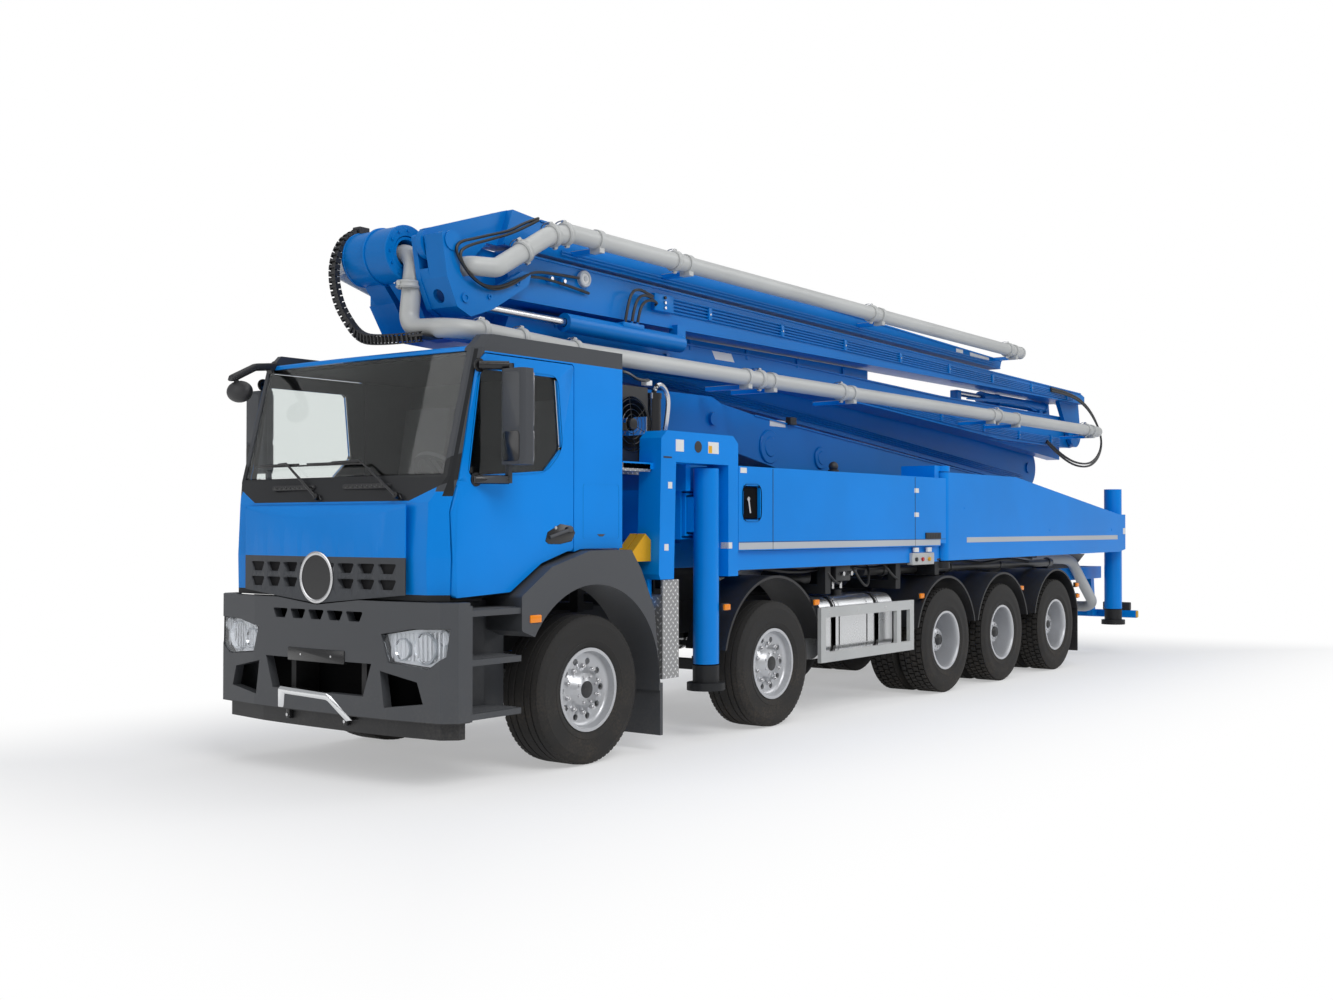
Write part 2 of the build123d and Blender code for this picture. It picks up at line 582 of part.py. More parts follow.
with BuildPart() as mudguards:
    for axle_x, radius, fender_y in (
        (AXLE_X[1], 750, (800, 1208)), (AXLE_X[2], 662, (590, 1250)), (AXLE_X[3], 662, (590, 1250)),
        (AXLE_X[4], 662, (590, 1250)),
    ):
        for span in both_sides(fender_y):
            disc((axle_x, TYRE_R), radius, span)
    for axle_x, radius in ((AXLE_X[1], 728), (AXLE_X[2], 640), (AXLE_X[3], 640), (AXLE_X[4], 640)):
        disc((axle_x, TYRE_R), radius, (-1300, 1300), mode=Mode.SUBTRACT)
    block((-6000, 4000), (-1300, 1300), (-400, 700), mode=Mode.SUBTRACT)
    for _, side in SIDES:
        block((-4062, -4040), (side * 620, side * 1240), (180, 760))
        for axle_x in AXLE_X[2:]:
            block((axle_x - 180, axle_x - 120), (side * 345, side * 900), (1176, 1196))
        block((2560, 2620), (side * 426, side * 900), (1262, 1284))
        block((2560, 2620), (side * 426, side * 460), (1176, 1284))
finish(mudguards.part, "mudguards")

# tool boxes ahead of the outrigger arches, and two wheel chocks
with BuildPart() as tool_boxes:
    for box_y in both_sides((760, 1205)):
        block((3840, 4040), box_y, (540, 1165))
        block((3840, 4040), (box_y[1] * 0.985, box_y[1]), (540, 1295))
    for chock_y in ((1000, 1070), (1080, 1150)):
        slab([(4115, 1440), (4345, 1440), (4345, 1500), (4180, 1650), (4115, 1600)], chock_y)
finish(tool_boxes.part, "tool_boxes")

with BuildPart() as oil_cooler:
    block((3970, 4400), (620, 1000), (2191, 2780))
    disc((4170, 2486), 212, (640, 1010), mode=Mode.SUBTRACT)
    disc((4170, 2486), 40, (600, 700))
    block((4150, 4190), (640, 660), (2270, 2700))
finish(oil_cooler.part, "oil_cooler")

with BuildPart() as cooler_fan:
    disc((4170, 2486), 55, (730, 860))
    for blade in range(6):
        turn = 60 * blade
        with BuildSketch(Plane.XZ.offset(-780)) as blade_face:
            with Locations(Location((4170, 2486, 0), (0, 0, turn))):
                with Locations((120, 0)):
                    Rectangle(160, 60)
        extrude(blade_face.sketch, amount=-20)
finish(cooler_fan.part, "cooler_fan")

with BuildPart() as hopper:
    with BuildSketch(Plane.XY.offset(1330)) as rim:
        with Locations((-5300, 0)):
            Rectangle(1100, 1240)
    with BuildSketch(Plane.XY.offset(700)) as floor:
        with Locations((-5000, 0)):
            Rectangle(460, 700)
    loft([floor.sketch.face(), rim.sketch.face()])
    with BuildSketch(Plane.XY.offset(1331)) as rim_inside:
        with Locations((-5300, 0)):
            Rectangle(1060, 1200)
    with BuildSketch(Plane.XY.offset(720)) as floor_inside:
        with Locations((-5000, 0)):
            Rectangle(420, 660)
    loft([floor_inside.sketch.face(), rim_inside.sketch.face()], mode=Mode.SUBTRACT)
    block((-5230, -4770), (-350, 350), (560, 701))
finish(hopper.part, "hopper")

with BuildPart() as concrete_pump:
    for cylinder_y in (-170, 170):
        rod((-4690, cylinder_y, 1480), (-2900, cylinder_y, 1480), 130)
        rod((-2600, cylinder_y, 1480), (-900, cylinder_y, 1480), 85)
    block((-2900, -2600), (-340, 340), (1300, 1660))
    block((-4740, -4680), (-340, 340), (1176, 1660))
    block((-1000, -900), (-300, 300), (1176, 1600))
    # delivery line from the hopper's outlet to the pedestal
    pipe([(-5233, 0, 630), (-5650, 0, 630), (-5650, 840, 630), (-4800, 840, 1285), (-4250, DELIVERY_Y, DELIVERY_Z),
          (2450, DELIVERY_Y, DELIVERY_Z), (2450, 426, DELIVERY_Z)], [110, 180, 300, 300, 70], PIPE_R)
finish(concrete_pump.part, "concrete_pump")

# ---------------------------------------------------------------- turntable and boom
with BuildPart() as turntable:
    post(SLEW_X, 0, 600, (1645, 1760))
    for _, side in SIDES:
        slab([(2030, 1755), (2010, 2300), (2100, 2800), (2290, 2870), (2900, 2870), (3450, 2860), (3450, 2400),
              (2860, 2250), (2860, 1755)], (side * 310, side * 370), rounding=16)
    block((2650, 3400), (-311, 311), (2420, 2700))
    block((2500, 2850), (-311, 311), (1755, 2430))
    disc(FOOT_PIN, 58, (-400, 400))
    # riser of the delivery line, up to its swivel on the foot pin's axis
    pipe([(FOOT_PIN[0], PIPE_FAR_Y, 1755), (FOOT_PIN[0], PIPE_FAR_Y, FOOT_PIN[1]),
          (FOOT_PIN[0], SWIVEL_Y + 3, FOOT_PIN[1])], [65], PIPE_R)
    block((FOOT_PIN[0] - 40, FOOT_PIN[0] + 40), (PIPE_FAR_Y + 40, -369), (2380, 2440))
finish(turntable.part, "turntable")

with BuildPart() as boom_a:
    slab([(2290, 2470), (2480, 2610), (2470, 2760), (2290, 2868), (1500, 2760), (-3650, 2310), (-3900, 2320),
          (-3900, 2000), (-3300, 1960), (0, 2060)], (-280, 280))
    slab([(-3400, 1990), (-5230, 2300), (-5230, 2600), (-4400, 2330), (-3400, 2290)], (-200, 30))
    disc(PIN_AB, 185, (-200, 30))
    disc(FOOT_PIN, 195, (-300, 300))
    disc(FOOT_PIN, 60, (-310, 310), mode=Mode.SUBTRACT)
    disc(PIN_AB, 71, (-300, 300), mode=Mode.SUBTRACT)
    # delivery line on the far side, on three brackets
    foot, end = (FOOT_PIN[0], PIPE_A_Y, FOOT_PIN[1]), (PIN_AB[0], PIPE_A_Y, PIN_AB[1])
    pipe([(foot[0], SWIVEL_Y - 3, foot[2]), foot, end, (end[0], SWIVEL_Y - 3, end[2])], [70, 70], PIPE_R)
    for bracket_x, low in ((-3550, 2250), (-1200, 2450), (1200, 2540)):
        pipe_z = end[2] + (bracket_x - end[0]) / (foot[0] - end[0]) * (foot[2] - end[2])
        block((bracket_x - 30, bracket_x + 30), (PIPE_A_Y - 50, -279), (low, pipe_z - 58))
finish(boom_a.part, "boom_a")

B_SIDE = (-260, 80)
B_NOSE = (-120, 80)
with BuildPart() as boom_b:
    slab([(-5200, 2240), (-3700, 2370), (1500, 2840), (4600, 3030), (4900, 3045), (4900, 3690), (4200, 3430),
          (2200, 3250), (-4000, 2810), (-5200, 2740)], B_SIDE)
    slab([(4899, 3045), (5560, 3070), (5700, 3300), (5800, 3420), (5800, 3800), (5000, 3720), (4899, 3690)],
         (-190, 80))
    block((5690, 6100), (-200, B_NOSE[0]), (3300, 3900), mode=Mode.SUBTRACT)
    disc(PIN_AB, 250, B_SIDE)
    disc(PIN_BC, 190, B_NOSE)
    # open fork astride the end of the first section, then a recess over its tail
    slab([(-5600, 2100), (-4560, 2100), (-4560, 3000), (-5600, 3000)], (-210, 40), mode=Mode.SUBTRACT)
    slab([(-4570, 2100), (-3380, 2100), (-3380, 2690), (-4570, 2690)], (-210, 40), mode=Mode.SUBTRACT)
    disc(PIN_AB, 70, (-290, 100))
    # hollow pin of the over-cab joint
    disc(PIN_BC, 118, (80, 330))
    disc(PIN_BC, 98, (-300, 340), mode=Mode.SUBTRACT)
finish(boom_b.part, "boom_b")

C_SIDE = (140, 480)
with BuildPart() as boom_c:
    disc(PIN_BC, 195, (95, 320))
    slab([(5800, 3410), (5690, 3290), (5560, 3070), (5350, 3045), (1000, 3035), (-500, 2960), (-3450, 2780),
          (-5700, 2610), (-5700, 3160), (-1900, 3185), (1700, 3280), (4950, 3285), (5300, 3450), (5600, 3700),
          (5720, 3790), (5800, 3790)], (140, 320))
    slab([(5050, 3045), (1000, 3035), (-500, 2960), (-3450, 2780), (-5700, 2770), (-5700, 3160), (-1900, 3185),
          (1700, 3280), (4950, 3285)], (320, 480))
    disc(PIN_CD, 195, C_SIDE)
    disc(PIN_CD, 71, (130, 490), mode=Mode.SUBTRACT)
    disc(PIN_BC, 120, (90, 330), mode=Mode.SUBTRACT)
finish(boom_c.part, "boom_c")

CYLINDER_FOOT, CYLINDER_EYE = (3180, 700, 3226), (5500, 700, 3249)


def along(distance):
    """A point on the last section's cylinder, so far from its foot."""
    run = Vector(*CYLINDER_EYE) - Vector(*CYLINDER_FOOT)
    return tuple(Vector(*CYLINDER_FOOT) + run * (distance / run.length))


with BuildPart() as boom_d:
    slab([(-5750, 3350), (5150, 3350), (5150, 3705), (-5600, 3490), (-5750, 3450)], (340, 660))
    # rear fork astride the third section
    for lug_y in ((70, 125), (495, 550)):
        slab([(-5880, 2965), (-5700, 2780), (-5500, 2900), (-5150, 3350), (-5150, 3480), (-5780, 3480)], lug_y)
        disc(PIN_CD, 190, lug_y)
    block((-5780, -5150), (70, 341), (3380, 3480))
    disc(PIN_CD, 70, (60, 600))
    # head of the front joint: two plates, the near one cut away round the pipe, and a cover between them
    slab([(5149, 3360), (5420, 3228), (5631, 3150), (5760, 3205), (5852, 3400), (5905, 3700), (5740, 3740),
          (5149, 3700)], (485, 530), rounding=20)
    slab([(5740, 3700), (5905, 3700), (5852, 3400), (5760, 3205), (5631, 3150), (5420, 3228), (5074, 3438),
          (5040, 3530), (5130, 3540), (5400, 3385), (5690, 3390), (5735, 3450)], (745, 790), rounding=20)
    for cover_y, top in (((529, 613), 3470), ((612, 746), 3690)):
        slab([(5852 + (top - 3400) * 0.18, top), (5846, 3400), (5752, 3210), (5631, 3158), (5560, 3185), (5560, 3220),
              (5625, 3192), (5728, 3236), (5816, 3405), (5816 + (top - 3400) * 0.18, top)], cover_y)
    rod((5560, 529, 3250), (5560, 746, 3250), 45)
    rod((5700, 640, 3310), (5860, 640, 3265), 50, mode=Mode.SUBTRACT)
    disc(PIN_DE, 68, (789, 800))
    disc(PIN_DE, 50, (485, 800))
    # barrel of the last section's cylinder
    rod(along(0), along(1420), 72)
    rod(along(700), along(1425), 35, mode=Mode.SUBTRACT)
    block((3130, 3240), (630, 720), (3190, 3380))
finish(boom_d.part, "boom_d")

with BuildPart() as boom_e_rod:
    rod(along(1380), CYLINDER_EYE, 30)
finish(boom_e_rod.part, "boom_e_rod")

with BuildPart() as boom_e:
    disc(PIN_DE, 110, (545, 600))
    slab([(5810, 3545), (5740, 3440), (5600, 3410), (5545, 3500), (5300, 3735), (-3100, 3590), (-3150, 3700),
          (4300, 3960), (4840, 3980), (5100, 4008), (5880, 3740)], (545, 600))
    slab([(5200, 3735), (-3100, 3590), (-3150, 3700), (4300, 3960), (4840, 3980), (5100, 4006)], (430, 660))
    disc(PIN_DE, 51, (530, 610), mode=Mode.SUBTRACT)
finish(boom_e.part, "boom_e")


def pipe_rests(stations, pipe_y, section_y):
    """Adds clamp collars, and rests that carry the pipe from the section's side, at (x, pipe z) stations."""
    low, high = sorted((section_y, pipe_y + (pipe_y - section_y) / abs(pipe_y - section_y) * 50))
    for x, z in stations:
        rod((x - 28, pipe_y, z), (x + 28, pipe_y, z), CLAMP_R)
        block((x - 28, x + 28), (low, high), (z - 98, z - 60))


with BuildPart() as pipe_b:
    pipe([(PIN_AB[0], SWIVEL_Y + 3, PIN_AB[1]), (PIN_AB[0], PIPE_FAR_Y, PIN_AB[1]), (-4700, PIPE_FAR_Y, 2650),
          (4900, PIPE_FAR_Y, 3350), (PIN_BC[0], PIPE_FAR_Y, PIN_BC[1]), (PIN_BC[0], 60, PIN_BC[1])],
         [60, 400, 900, 110], PIPE_R)
    pipe_rests([(x, 2650 + (x + 4700) / 9600 * 700) for x in (-4300, -1700, 900, 3500)], PIPE_FAR_Y, B_SIDE[0])
finish(pipe_b.part, "pipe_b")

with BuildPart() as pipe_c:
    pipe([(PIN_BC[0], 66, PIN_BC[1]), (PIN_BC[0], 408, PIN_BC[1]), (5860, 408, 3070), (5850, PIPE_C_Y, 3045),
          (4700, PIPE_C_Y, 3000), (PIN_CD[0], PIPE_C_Y, PIN_CD[1]), (PIN_CD[0], 640, PIN_CD[1])],
         [120, 120, 220, 400, 130], PIPE_R)
    pipe_rests([(x, 2965 + (x - PIN_CD[0]) * 0.00337) for x in (-5362, -3018, -2340, 758, 2128, 2512)],
               PIPE_C_Y, C_SIDE[1])
finish(pipe_c.part, "pipe_c")

with BuildPart() as pipe_e:
    pipe([(5650, 600, 3500), (5650, 800, 3500), (5480, 880, 3500), (4990, PIPE_E_Y, 3800), (4750, PIPE_E_Y, 3862),
          (BOOM_TIP_X, PIPE_E_Y, 3770)], [75, 90, 300, 250], PIPE_R)
    pipe_rests([(x, 3770 + (x - BOOM_TIP_X) * 0.01165) for x in (-2950, 207, 3350, 4450)], PIPE_E_Y, 660)
    # clamp collar of the outlet
    rod((BOOM_TIP_X, PIPE_E_Y, 3770), (BOOM_TIP_X + 40, PIPE_E_Y, 3770.46), 74)
finish(pipe_e.part, "pipe_e")
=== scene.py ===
"""Looks for a five-axle concrete pump truck: paint, glass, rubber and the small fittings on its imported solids."""

import json
import math

import bmesh
import bpy
from bpy.props import FloatProperty, FloatVectorProperty, IntProperty, PointerProperty
from mathutils import Matrix, Vector


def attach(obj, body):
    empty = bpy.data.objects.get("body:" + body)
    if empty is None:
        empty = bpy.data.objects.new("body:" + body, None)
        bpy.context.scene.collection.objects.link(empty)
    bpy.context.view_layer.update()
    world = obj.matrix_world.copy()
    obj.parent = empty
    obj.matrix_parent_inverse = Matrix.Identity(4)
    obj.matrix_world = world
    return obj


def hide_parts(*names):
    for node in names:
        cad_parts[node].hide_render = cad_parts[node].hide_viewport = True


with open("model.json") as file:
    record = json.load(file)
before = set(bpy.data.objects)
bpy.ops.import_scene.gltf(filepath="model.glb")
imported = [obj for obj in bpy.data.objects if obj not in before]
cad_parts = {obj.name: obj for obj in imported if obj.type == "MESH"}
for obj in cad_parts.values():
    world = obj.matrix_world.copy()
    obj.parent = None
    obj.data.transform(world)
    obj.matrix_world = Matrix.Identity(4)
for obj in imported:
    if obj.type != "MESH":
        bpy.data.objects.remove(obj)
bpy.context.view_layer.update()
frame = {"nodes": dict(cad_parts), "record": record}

bl_info = {
    "name": "Concrete Pump Truck",
    "version": (1, 0, 0),
    "blender": (4, 5, 0),
    "location": "View3D > Sidebar > Pump Truck",
    "description": "Paints and details a truck-mounted concrete pump on its packed frame",
    "category": "Object",
}

AXLE_X = (4.85, 2.5, -0.58, -1.92, -3.4)
TYRE_R = 0.536
SINGLE_Y, TWIN_Y = 1.010, 1.094  # the steered and the outer driven wheels' middles
TWIN_SPACING = 0.345
SIDES = (("left", 1), ("right", -1))
WINDSCREEN_FOOT_Z, WINDSCREEN_RAKE = 2.03, 0.25  # the raked front stands at raked_x of 6.14 to 6.165
PILLAR_X = 6.06  # raked_x of the door's front edge
CAB_BACK_X, DOOR_FRONT_X = 4.49, 6.03
BLACK, SOFT_BLACK = (0.012, 0.012, 0.013), (0.022, 0.023, 0.025)
ALONG_X, ALONG_Y = (1, 0, 0), (0, 1, 0)
MERGE = 1e-5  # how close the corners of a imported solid's loose triangles lie


# ------------------------------------------------------------------ settings
def colour_setting(name, description, default):
    return FloatVectorProperty(
        name=name, description=description, subtype="COLOR", size=3, min=0, max=1, default=default)


def length_setting(name, description, default, low, high):
    return FloatProperty(
        name=name, description=description, default=default, min=low, max=high, subtype="DISTANCE", unit="LENGTH")


class PumpTruckColours(bpy.types.PropertyGroup):
    body_blue: colour_setting("Body blue", "Paint of the cab, covers and boom", (0.0, 0.255, 0.820))
    trim_grey: colour_setting(
        "Trim grey", "Grained plastic of the bumper and the door surrounds", (0.066, 0.070, 0.077))
    pipe_grey: colour_setting("Pipe grey", "Paint of the concrete pipes and the side guards", (0.52, 0.53, 0.52))
    frame_black: colour_setting("Frame black", "Paint of the chassis and the fenders", (0.016, 0.017, 0.019))
    rim_silver: colour_setting("Rim silver", "Paint of the wheel rims", (0.60, 0.61, 0.63))
    tyre_black: colour_setting("Tyre black", "Rubber of the tyres", (0.030, 0.029, 0.028))
    chock_yellow: colour_setting("Chock yellow", "Wheel chocks and caps", (0.80, 0.42, 0.01))
    marker_orange: colour_setting("Marker orange", "Side lamps", (0.95, 0.27, 0.01))


class PumpTruckSizes(bpy.types.PropertyGroup):
    hose_radius: length_setting("Hose radius", "Radius of a hydraulic hose", 0.011, 0.004, 0.03)
    line_radius: length_setting("Line radius", "Radius of a steel hydraulic line on the boom", 0.009, 0.004, 0.03)
    wheel_nuts: IntProperty(name="Wheel nuts", description="Nuts on each wheel", default=10, min=5, max=12)
    floor_size: length_setting("Floor size", "Width of the studio floor", 160.0, 40, 400)


def colours():
    return bpy.context.scene.pump_truck_colours


def sizes():
    return bpy.context.scene.pump_truck_sizes


# ------------------------------------------------------------------ shader groups
def shader_group(name, inputs, outputs, build):
    """A node group with named sockets, built once."""
    if name in bpy.data.node_groups:
        return bpy.data.node_groups[name]
    tree = bpy.data.node_groups.new(name, "ShaderNodeTree")
    for label, kind, value in inputs:
        socket = tree.interface.new_socket(name=label, in_out="INPUT", socket_type=kind)
        if value is not None:
            socket.default_value = value
    for label, kind in outputs:
        tree.interface.new_socket(name=label, in_out="OUTPUT", socket_type=kind)
    build(tree, tree.nodes.new("NodeGroupInput"), tree.nodes.new("NodeGroupOutput"))
    return tree


def math_node(tree, operation, a, b=None, clamp=False):
    node = tree.nodes.new("ShaderNodeMath")
    node.operation, node.use_clamp = operation, clamp
    for socket, value in zip(node.inputs, (a, b)):
        if isinstance(value, (int, float)):
            socket.default_value = value
        elif value is not None:
            tree.links.new(value, socket)
    return node.outputs[0]


def noise(tree, vector, scale, detail=4.0, rough=0.55):
    node = tree.nodes.new("ShaderNodeTexNoise")
    tree.links.new(vector, node.inputs["Vector"])
    if isinstance(scale, (int, float)):
        node.inputs["Scale"].default_value = scale
    else:
        tree.links.new(scale, node.inputs["Scale"])
    node.inputs["Detail"].default_value = detail
    node.inputs["Roughness"].default_value = rough
    return node.outputs["Fac"]


def band(tree, value, low, high):
    """0 up to low, 1 from high on, and smooth between."""
    node = tree.nodes.new("ShaderNodeMapRange")
    node.interpolation_type = "SMOOTHSTEP"
    tree.links.new(value, node.inputs["Value"])
    node.inputs["From Min"].default_value, node.inputs["From Max"].default_value = low, high
    return node.outputs["Result"]


def mix_colour(tree, fac, a, b):
    node = tree.nodes.new("ShaderNodeMix")
    node.data_type = "RGBA"
    for socket, value in ((node.inputs["Factor"], fac), (node.inputs["A"], a), (node.inputs["B"], b)):
        if isinstance(value, (tuple, int, float)):
            socket.default_value = value
        else:
            tree.links.new(value, socket)
    return node.outputs["Result"]


DUST_TOP = 1.1  # height at which road dust ends
LOZENGE_LENGTH, LOZENGE_WIDTH = 0.46, 0.20  # half sizes, in cells
SCREEN_FLAT_Y, SCREEN_DIP = 0.82, 0.42  # where the windscreen's lower edge starts to dip, and how steeply


def road_dust_group():
    """Dust that gathers low on the truck, in drifting patches."""
    def build(tree, inp, out):
        split = tree.nodes.new("ShaderNodeSeparateXYZ")
        tree.links.new(inp.outputs["Vector"], split.inputs[0])
        low = band(tree, split.outputs["Z"], DUST_TOP, 0.0)
        patches = noise(tree, inp.outputs["Vector"], 3.2, 6.0, 0.6)
        speckle = noise(tree, inp.outputs["Vector"], 55.0, 3.0, 0.6)
        patch = band(tree, patches, 0.35, 0.75)
        grain = math_node(tree, "MULTIPLY", patch, band(tree, speckle, 0.3, 0.8))
        mask = math_node(tree, "MULTIPLY", math_node(tree, "MULTIPLY", grain, low), inp.outputs["Amount"], True)
        tree.links.new(mask, out.inputs["Mask"])
    return shader_group(
        "road_dust", [("Vector", "NodeSocketVector", None), ("Amount", "NodeSocketFloat", 0.5)],
        [("Mask", "NodeSocketFloat")], build)


def tone_group():
    """Slow colour variation, and the fine ripple of sprayed paint or moulded plastic."""
    def build(tree, inp, out):
        slow = noise(tree, inp.outputs["Vector"], 0.9, 3.0, 0.5)
        fine = noise(tree, inp.outputs["Vector"], inp.outputs["Grain Scale"], 2.0, 0.5)
        tree.links.new(slow, out.inputs["Slow"])
        tree.links.new(fine, out.inputs["Fine"])
    return shader_group(
        "surface_tone", [("Vector", "NodeSocketVector", None), ("Grain Scale", "NodeSocketFloat", 300.0)],
        [("Slow", "NodeSocketFloat"), ("Fine", "NodeSocketFloat")], build)


def lozenge_group():
    """Raised lozenges of tread plate, crossing each other in turn, on upright and level faces."""
    def build(tree, inp, out):
        split = tree.nodes.new("ShaderNodeSeparateXYZ")
        tree.links.new(inp.outputs["Vector"], split.inputs[0])
        x, y, z = split.outputs
        across = math_node(tree, "ADD", x, y)
        cells, offsets = [], []
        for sign in ("ADD", "SUBTRACT"):
            place = math_node(tree, "DIVIDE", math_node(tree, sign, across, z), inp.outputs["Pitch"])
            cells.append(math_node(tree, "FLOOR", place))
            from_middle = math_node(tree, "SUBTRACT", math_node(tree, "FRACT", place), 0.5)
            offsets.append(math_node(tree, "ABSOLUTE", from_middle))
        lozenges = []
        for long_way, short_way in (offsets, offsets[::-1]):
            reach = math_node(tree, "ADD", math_node(tree, "DIVIDE", long_way, LOZENGE_LENGTH),
                              math_node(tree, "DIVIDE", short_way, LOZENGE_WIDTH))
            lozenges.append(band(tree, reach, 1.0, 0.75))
        odd = math_node(tree, "FRACT", math_node(tree, "MULTIPLY", math_node(tree, "ADD", *cells), 0.5))
        odd = math_node(tree, "GREATER_THAN", odd, 0.25)
        first = math_node(tree, "MULTIPLY", lozenges[0], odd)
        second = math_node(tree, "MULTIPLY", lozenges[1], math_node(tree, "SUBTRACT", 1.0, odd))
        tree.links.new(math_node(tree, "ADD", first, second), out.inputs["Raised"])
    return shader_group(
        "tread_lozenges", [("Vector", "NodeSocketVector", None), ("Pitch", "NodeSocketFloat", 0.03)],
        [("Raised", "NodeSocketFloat")], build)


def inside_zone(tree, axes, zone):
    """1 where every named coordinate lies between its two limits."""
    mask = None
    for axis, (low, high) in zone.items():
        for operation, limit in (("GREATER_THAN", low), ("LESS_THAN", high)):
            if limit is None:
                continue
            test = math_node(tree, operation, axes[axis], limit)
            mask = test if mask is None else math_node(tree, "MULTIPLY", mask, test)
    return mask


def zone_axes(tree, coord, pipe_line):
    """Coordinates that zones are measured along: x, y, z, distance from the middle plane, x square to the raked
    windscreen, height over a pipe's line (its height at x of 0, and its slope), and height over the dip of the
    windscreen's lower edge."""
    split = tree.nodes.new("ShaderNodeSeparateXYZ")
    tree.links.new(coord, split.inputs[0])
    x, y, z = split.outputs
    rake = math_node(tree, "MULTIPLY", math_node(tree, "SUBTRACT", z, WINDSCREEN_FOOT_Z), WINDSCREEN_RAKE)
    abs_y = math_node(tree, "ABSOLUTE", y)
    corner = math_node(tree, "MAXIMUM", math_node(tree, "SUBTRACT", abs_y, SCREEN_FLAT_Y), 0.0)
    dip = math_node(tree, "MULTIPLY", corner, SCREEN_DIP)
    pipe_z = math_node(tree, "ADD", math_node(tree, "MULTIPLY", x, pipe_line[1]), pipe_line[0])
    return {"x": x, "y": y, "z": z, "abs_y": abs_y, "raked_x": math_node(tree, "ADD", x, rake),
            "over_pipe": math_node(tree, "SUBTRACT", z, pipe_z), "dipped_z": math_node(tree, "SUBTRACT", z, dip)}


# ------------------------------------------------------------------ finishes
MADE = {}  # finishes made so far, by name
ROAD_DUST, TYRE_DUST = (0.21, 0.19, 0.165, 1), (0.13, 0.105, 0.08, 1)
ROUGHNESS_DRIFT = 0.12  # how far a finish's roughness wanders over a piece
DUST_ROUGHNESS = 0.4  # what full dust adds to it
COAT_ROUGHNESS = 0.06
GRAIN_DEPTH = 0.002
TREAD_PITCH, TREAD_RELIEF = 0.055, 0.6
GLASS_IOR = 1.30


def colour_of(colour):
    """A colour, or the setting of that name, with its alpha."""
    return (*(getattr(colours(), colour) if isinstance(colour, str) else colour), 1)


def scaled(colour, factor):
    return (*(min(1, channel * factor) for channel in colour[:3]), 1)


def place_group(tree, group, coord, value):
    """Places a node group, and gives its outputs; value goes to the input after its Vector."""
    node = tree.nodes.new("ShaderNodeGroup")
    node.node_tree = group
    tree.links.new(coord, node.inputs["Vector"])
    node.inputs[1].default_value = value
    return node.outputs


def new_material(name):
    """A material with its tree, shader and object coordinates."""
    mat = bpy.data.materials.new(name)
    mat.use_nodes = True
    tree = mat.node_tree
    return mat, tree, tree.nodes["Principled BSDF"], tree.nodes.new("ShaderNodeTexCoord").outputs["Object"]


def finish_material(name, colour, rough, metallic=0.0, coat=0.0, specular=0.5, grain_scale=300.0, grain=0.05,
                    dust=0.35, dust_colour=ROAD_DUST, vary=0.12, shade=1.0, zones=(), tread=0.0,
                    pipe_line=(0.0, 0.0)):
    """A painted, moulded or rubber surface: base colour with slow variation, dust and a fine bump. Each zone
    is limits along named axes, the colour inside them and the roughness there. A tread is the pitch of raised
    lozenges, which get a painted highlight, with painted shade between them."""
    mat, tree, shader, coord = new_material(name)
    tone = place_group(tree, tone_group(), coord, grain_scale)
    # shade darkens the base colour; on the boom it is partly painted shade
    base = scaled(colour_of(colour), shade)
    surface = mix_colour(tree, band(tree, tone["Slow"], 0.3, 0.7), scaled(base, 1 - vary), base)
    height, relief = tone["Fine"], grain
    if tread:
        raised = place_group(tree, lozenge_group(), coord, tread)["Raised"]
        # painted shade between the lozenges, and a painted highlight on the raised lozenges
        between = mix_colour(tree, 0.8, surface, scaled(base, 0.5))
        surface = mix_colour(tree, raised, between, scaled(base, 1.5))
        height, relief = math_node(tree, "ADD", math_node(tree, "MULTIPLY", height, 0.1), raised), TREAD_RELIEF
    axes = zone_axes(tree, coord, pipe_line) if zones else None
    zone_shift = None
    for limits, zone_colour, zone_rough in zones:
        mask = inside_zone(tree, axes, limits)
        surface = mix_colour(tree, mask, surface, colour_of(zone_colour))
        shift = math_node(tree, "MULTIPLY", mask, zone_rough - rough)
        zone_shift = shift if zone_shift is None else math_node(tree, "ADD", zone_shift, shift)
    dusty = place_group(tree, road_dust_group(), coord, dust)["Mask"]
    tree.links.new(mix_colour(tree, dusty, surface, dust_colour), shader.inputs["Base Color"])
    wear = math_node(tree, "MULTIPLY", tone["Slow"], ROUGHNESS_DRIFT)
    rough_out = math_node(tree, "ADD", math_node(tree, "ADD", wear, rough - ROUGHNESS_DRIFT / 2),
                          math_node(tree, "MULTIPLY", dusty, DUST_ROUGHNESS), True)
    if zone_shift is not None:
        rough_out = math_node(tree, "ADD", rough_out, zone_shift, True)
    tree.links.new(rough_out, shader.inputs["Roughness"])
    for label, value in (("Metallic", metallic), ("Specular IOR Level", specular), ("Coat Weight", coat),
                         ("Coat Roughness", COAT_ROUGHNESS)):
        shader.inputs[label].default_value = value
    bump = tree.nodes.new("ShaderNodeBump")
    bump.inputs["Strength"].default_value = relief
    bump.inputs["Distance"].default_value = GRAIN_DEPTH
    tree.links.new(height, bump.inputs["Height"])
    tree.links.new(bump.outputs["Normal"], shader.inputs["Normal"])
    return mat


def clear_material(name, colour, rough, transmission=0.0, ior=1.45):
    """Glass or a lamp's lens, with a little smear in its gloss."""
    mat, tree, shader, coord = new_material(name)
    smear = band(tree, noise(tree, coord, 6.0), 0.3, 0.8)
    tree.links.new(math_node(tree, "ADD", math_node(tree, "MULTIPLY", smear, 0.05), rough, True),
                   shader.inputs["Roughness"])
    shader.inputs["Base Color"].default_value = colour_of(colour)
    shader.inputs["Transmission Weight"].default_value = transmission
    shader.inputs["IOR"].default_value = ior
    return mat


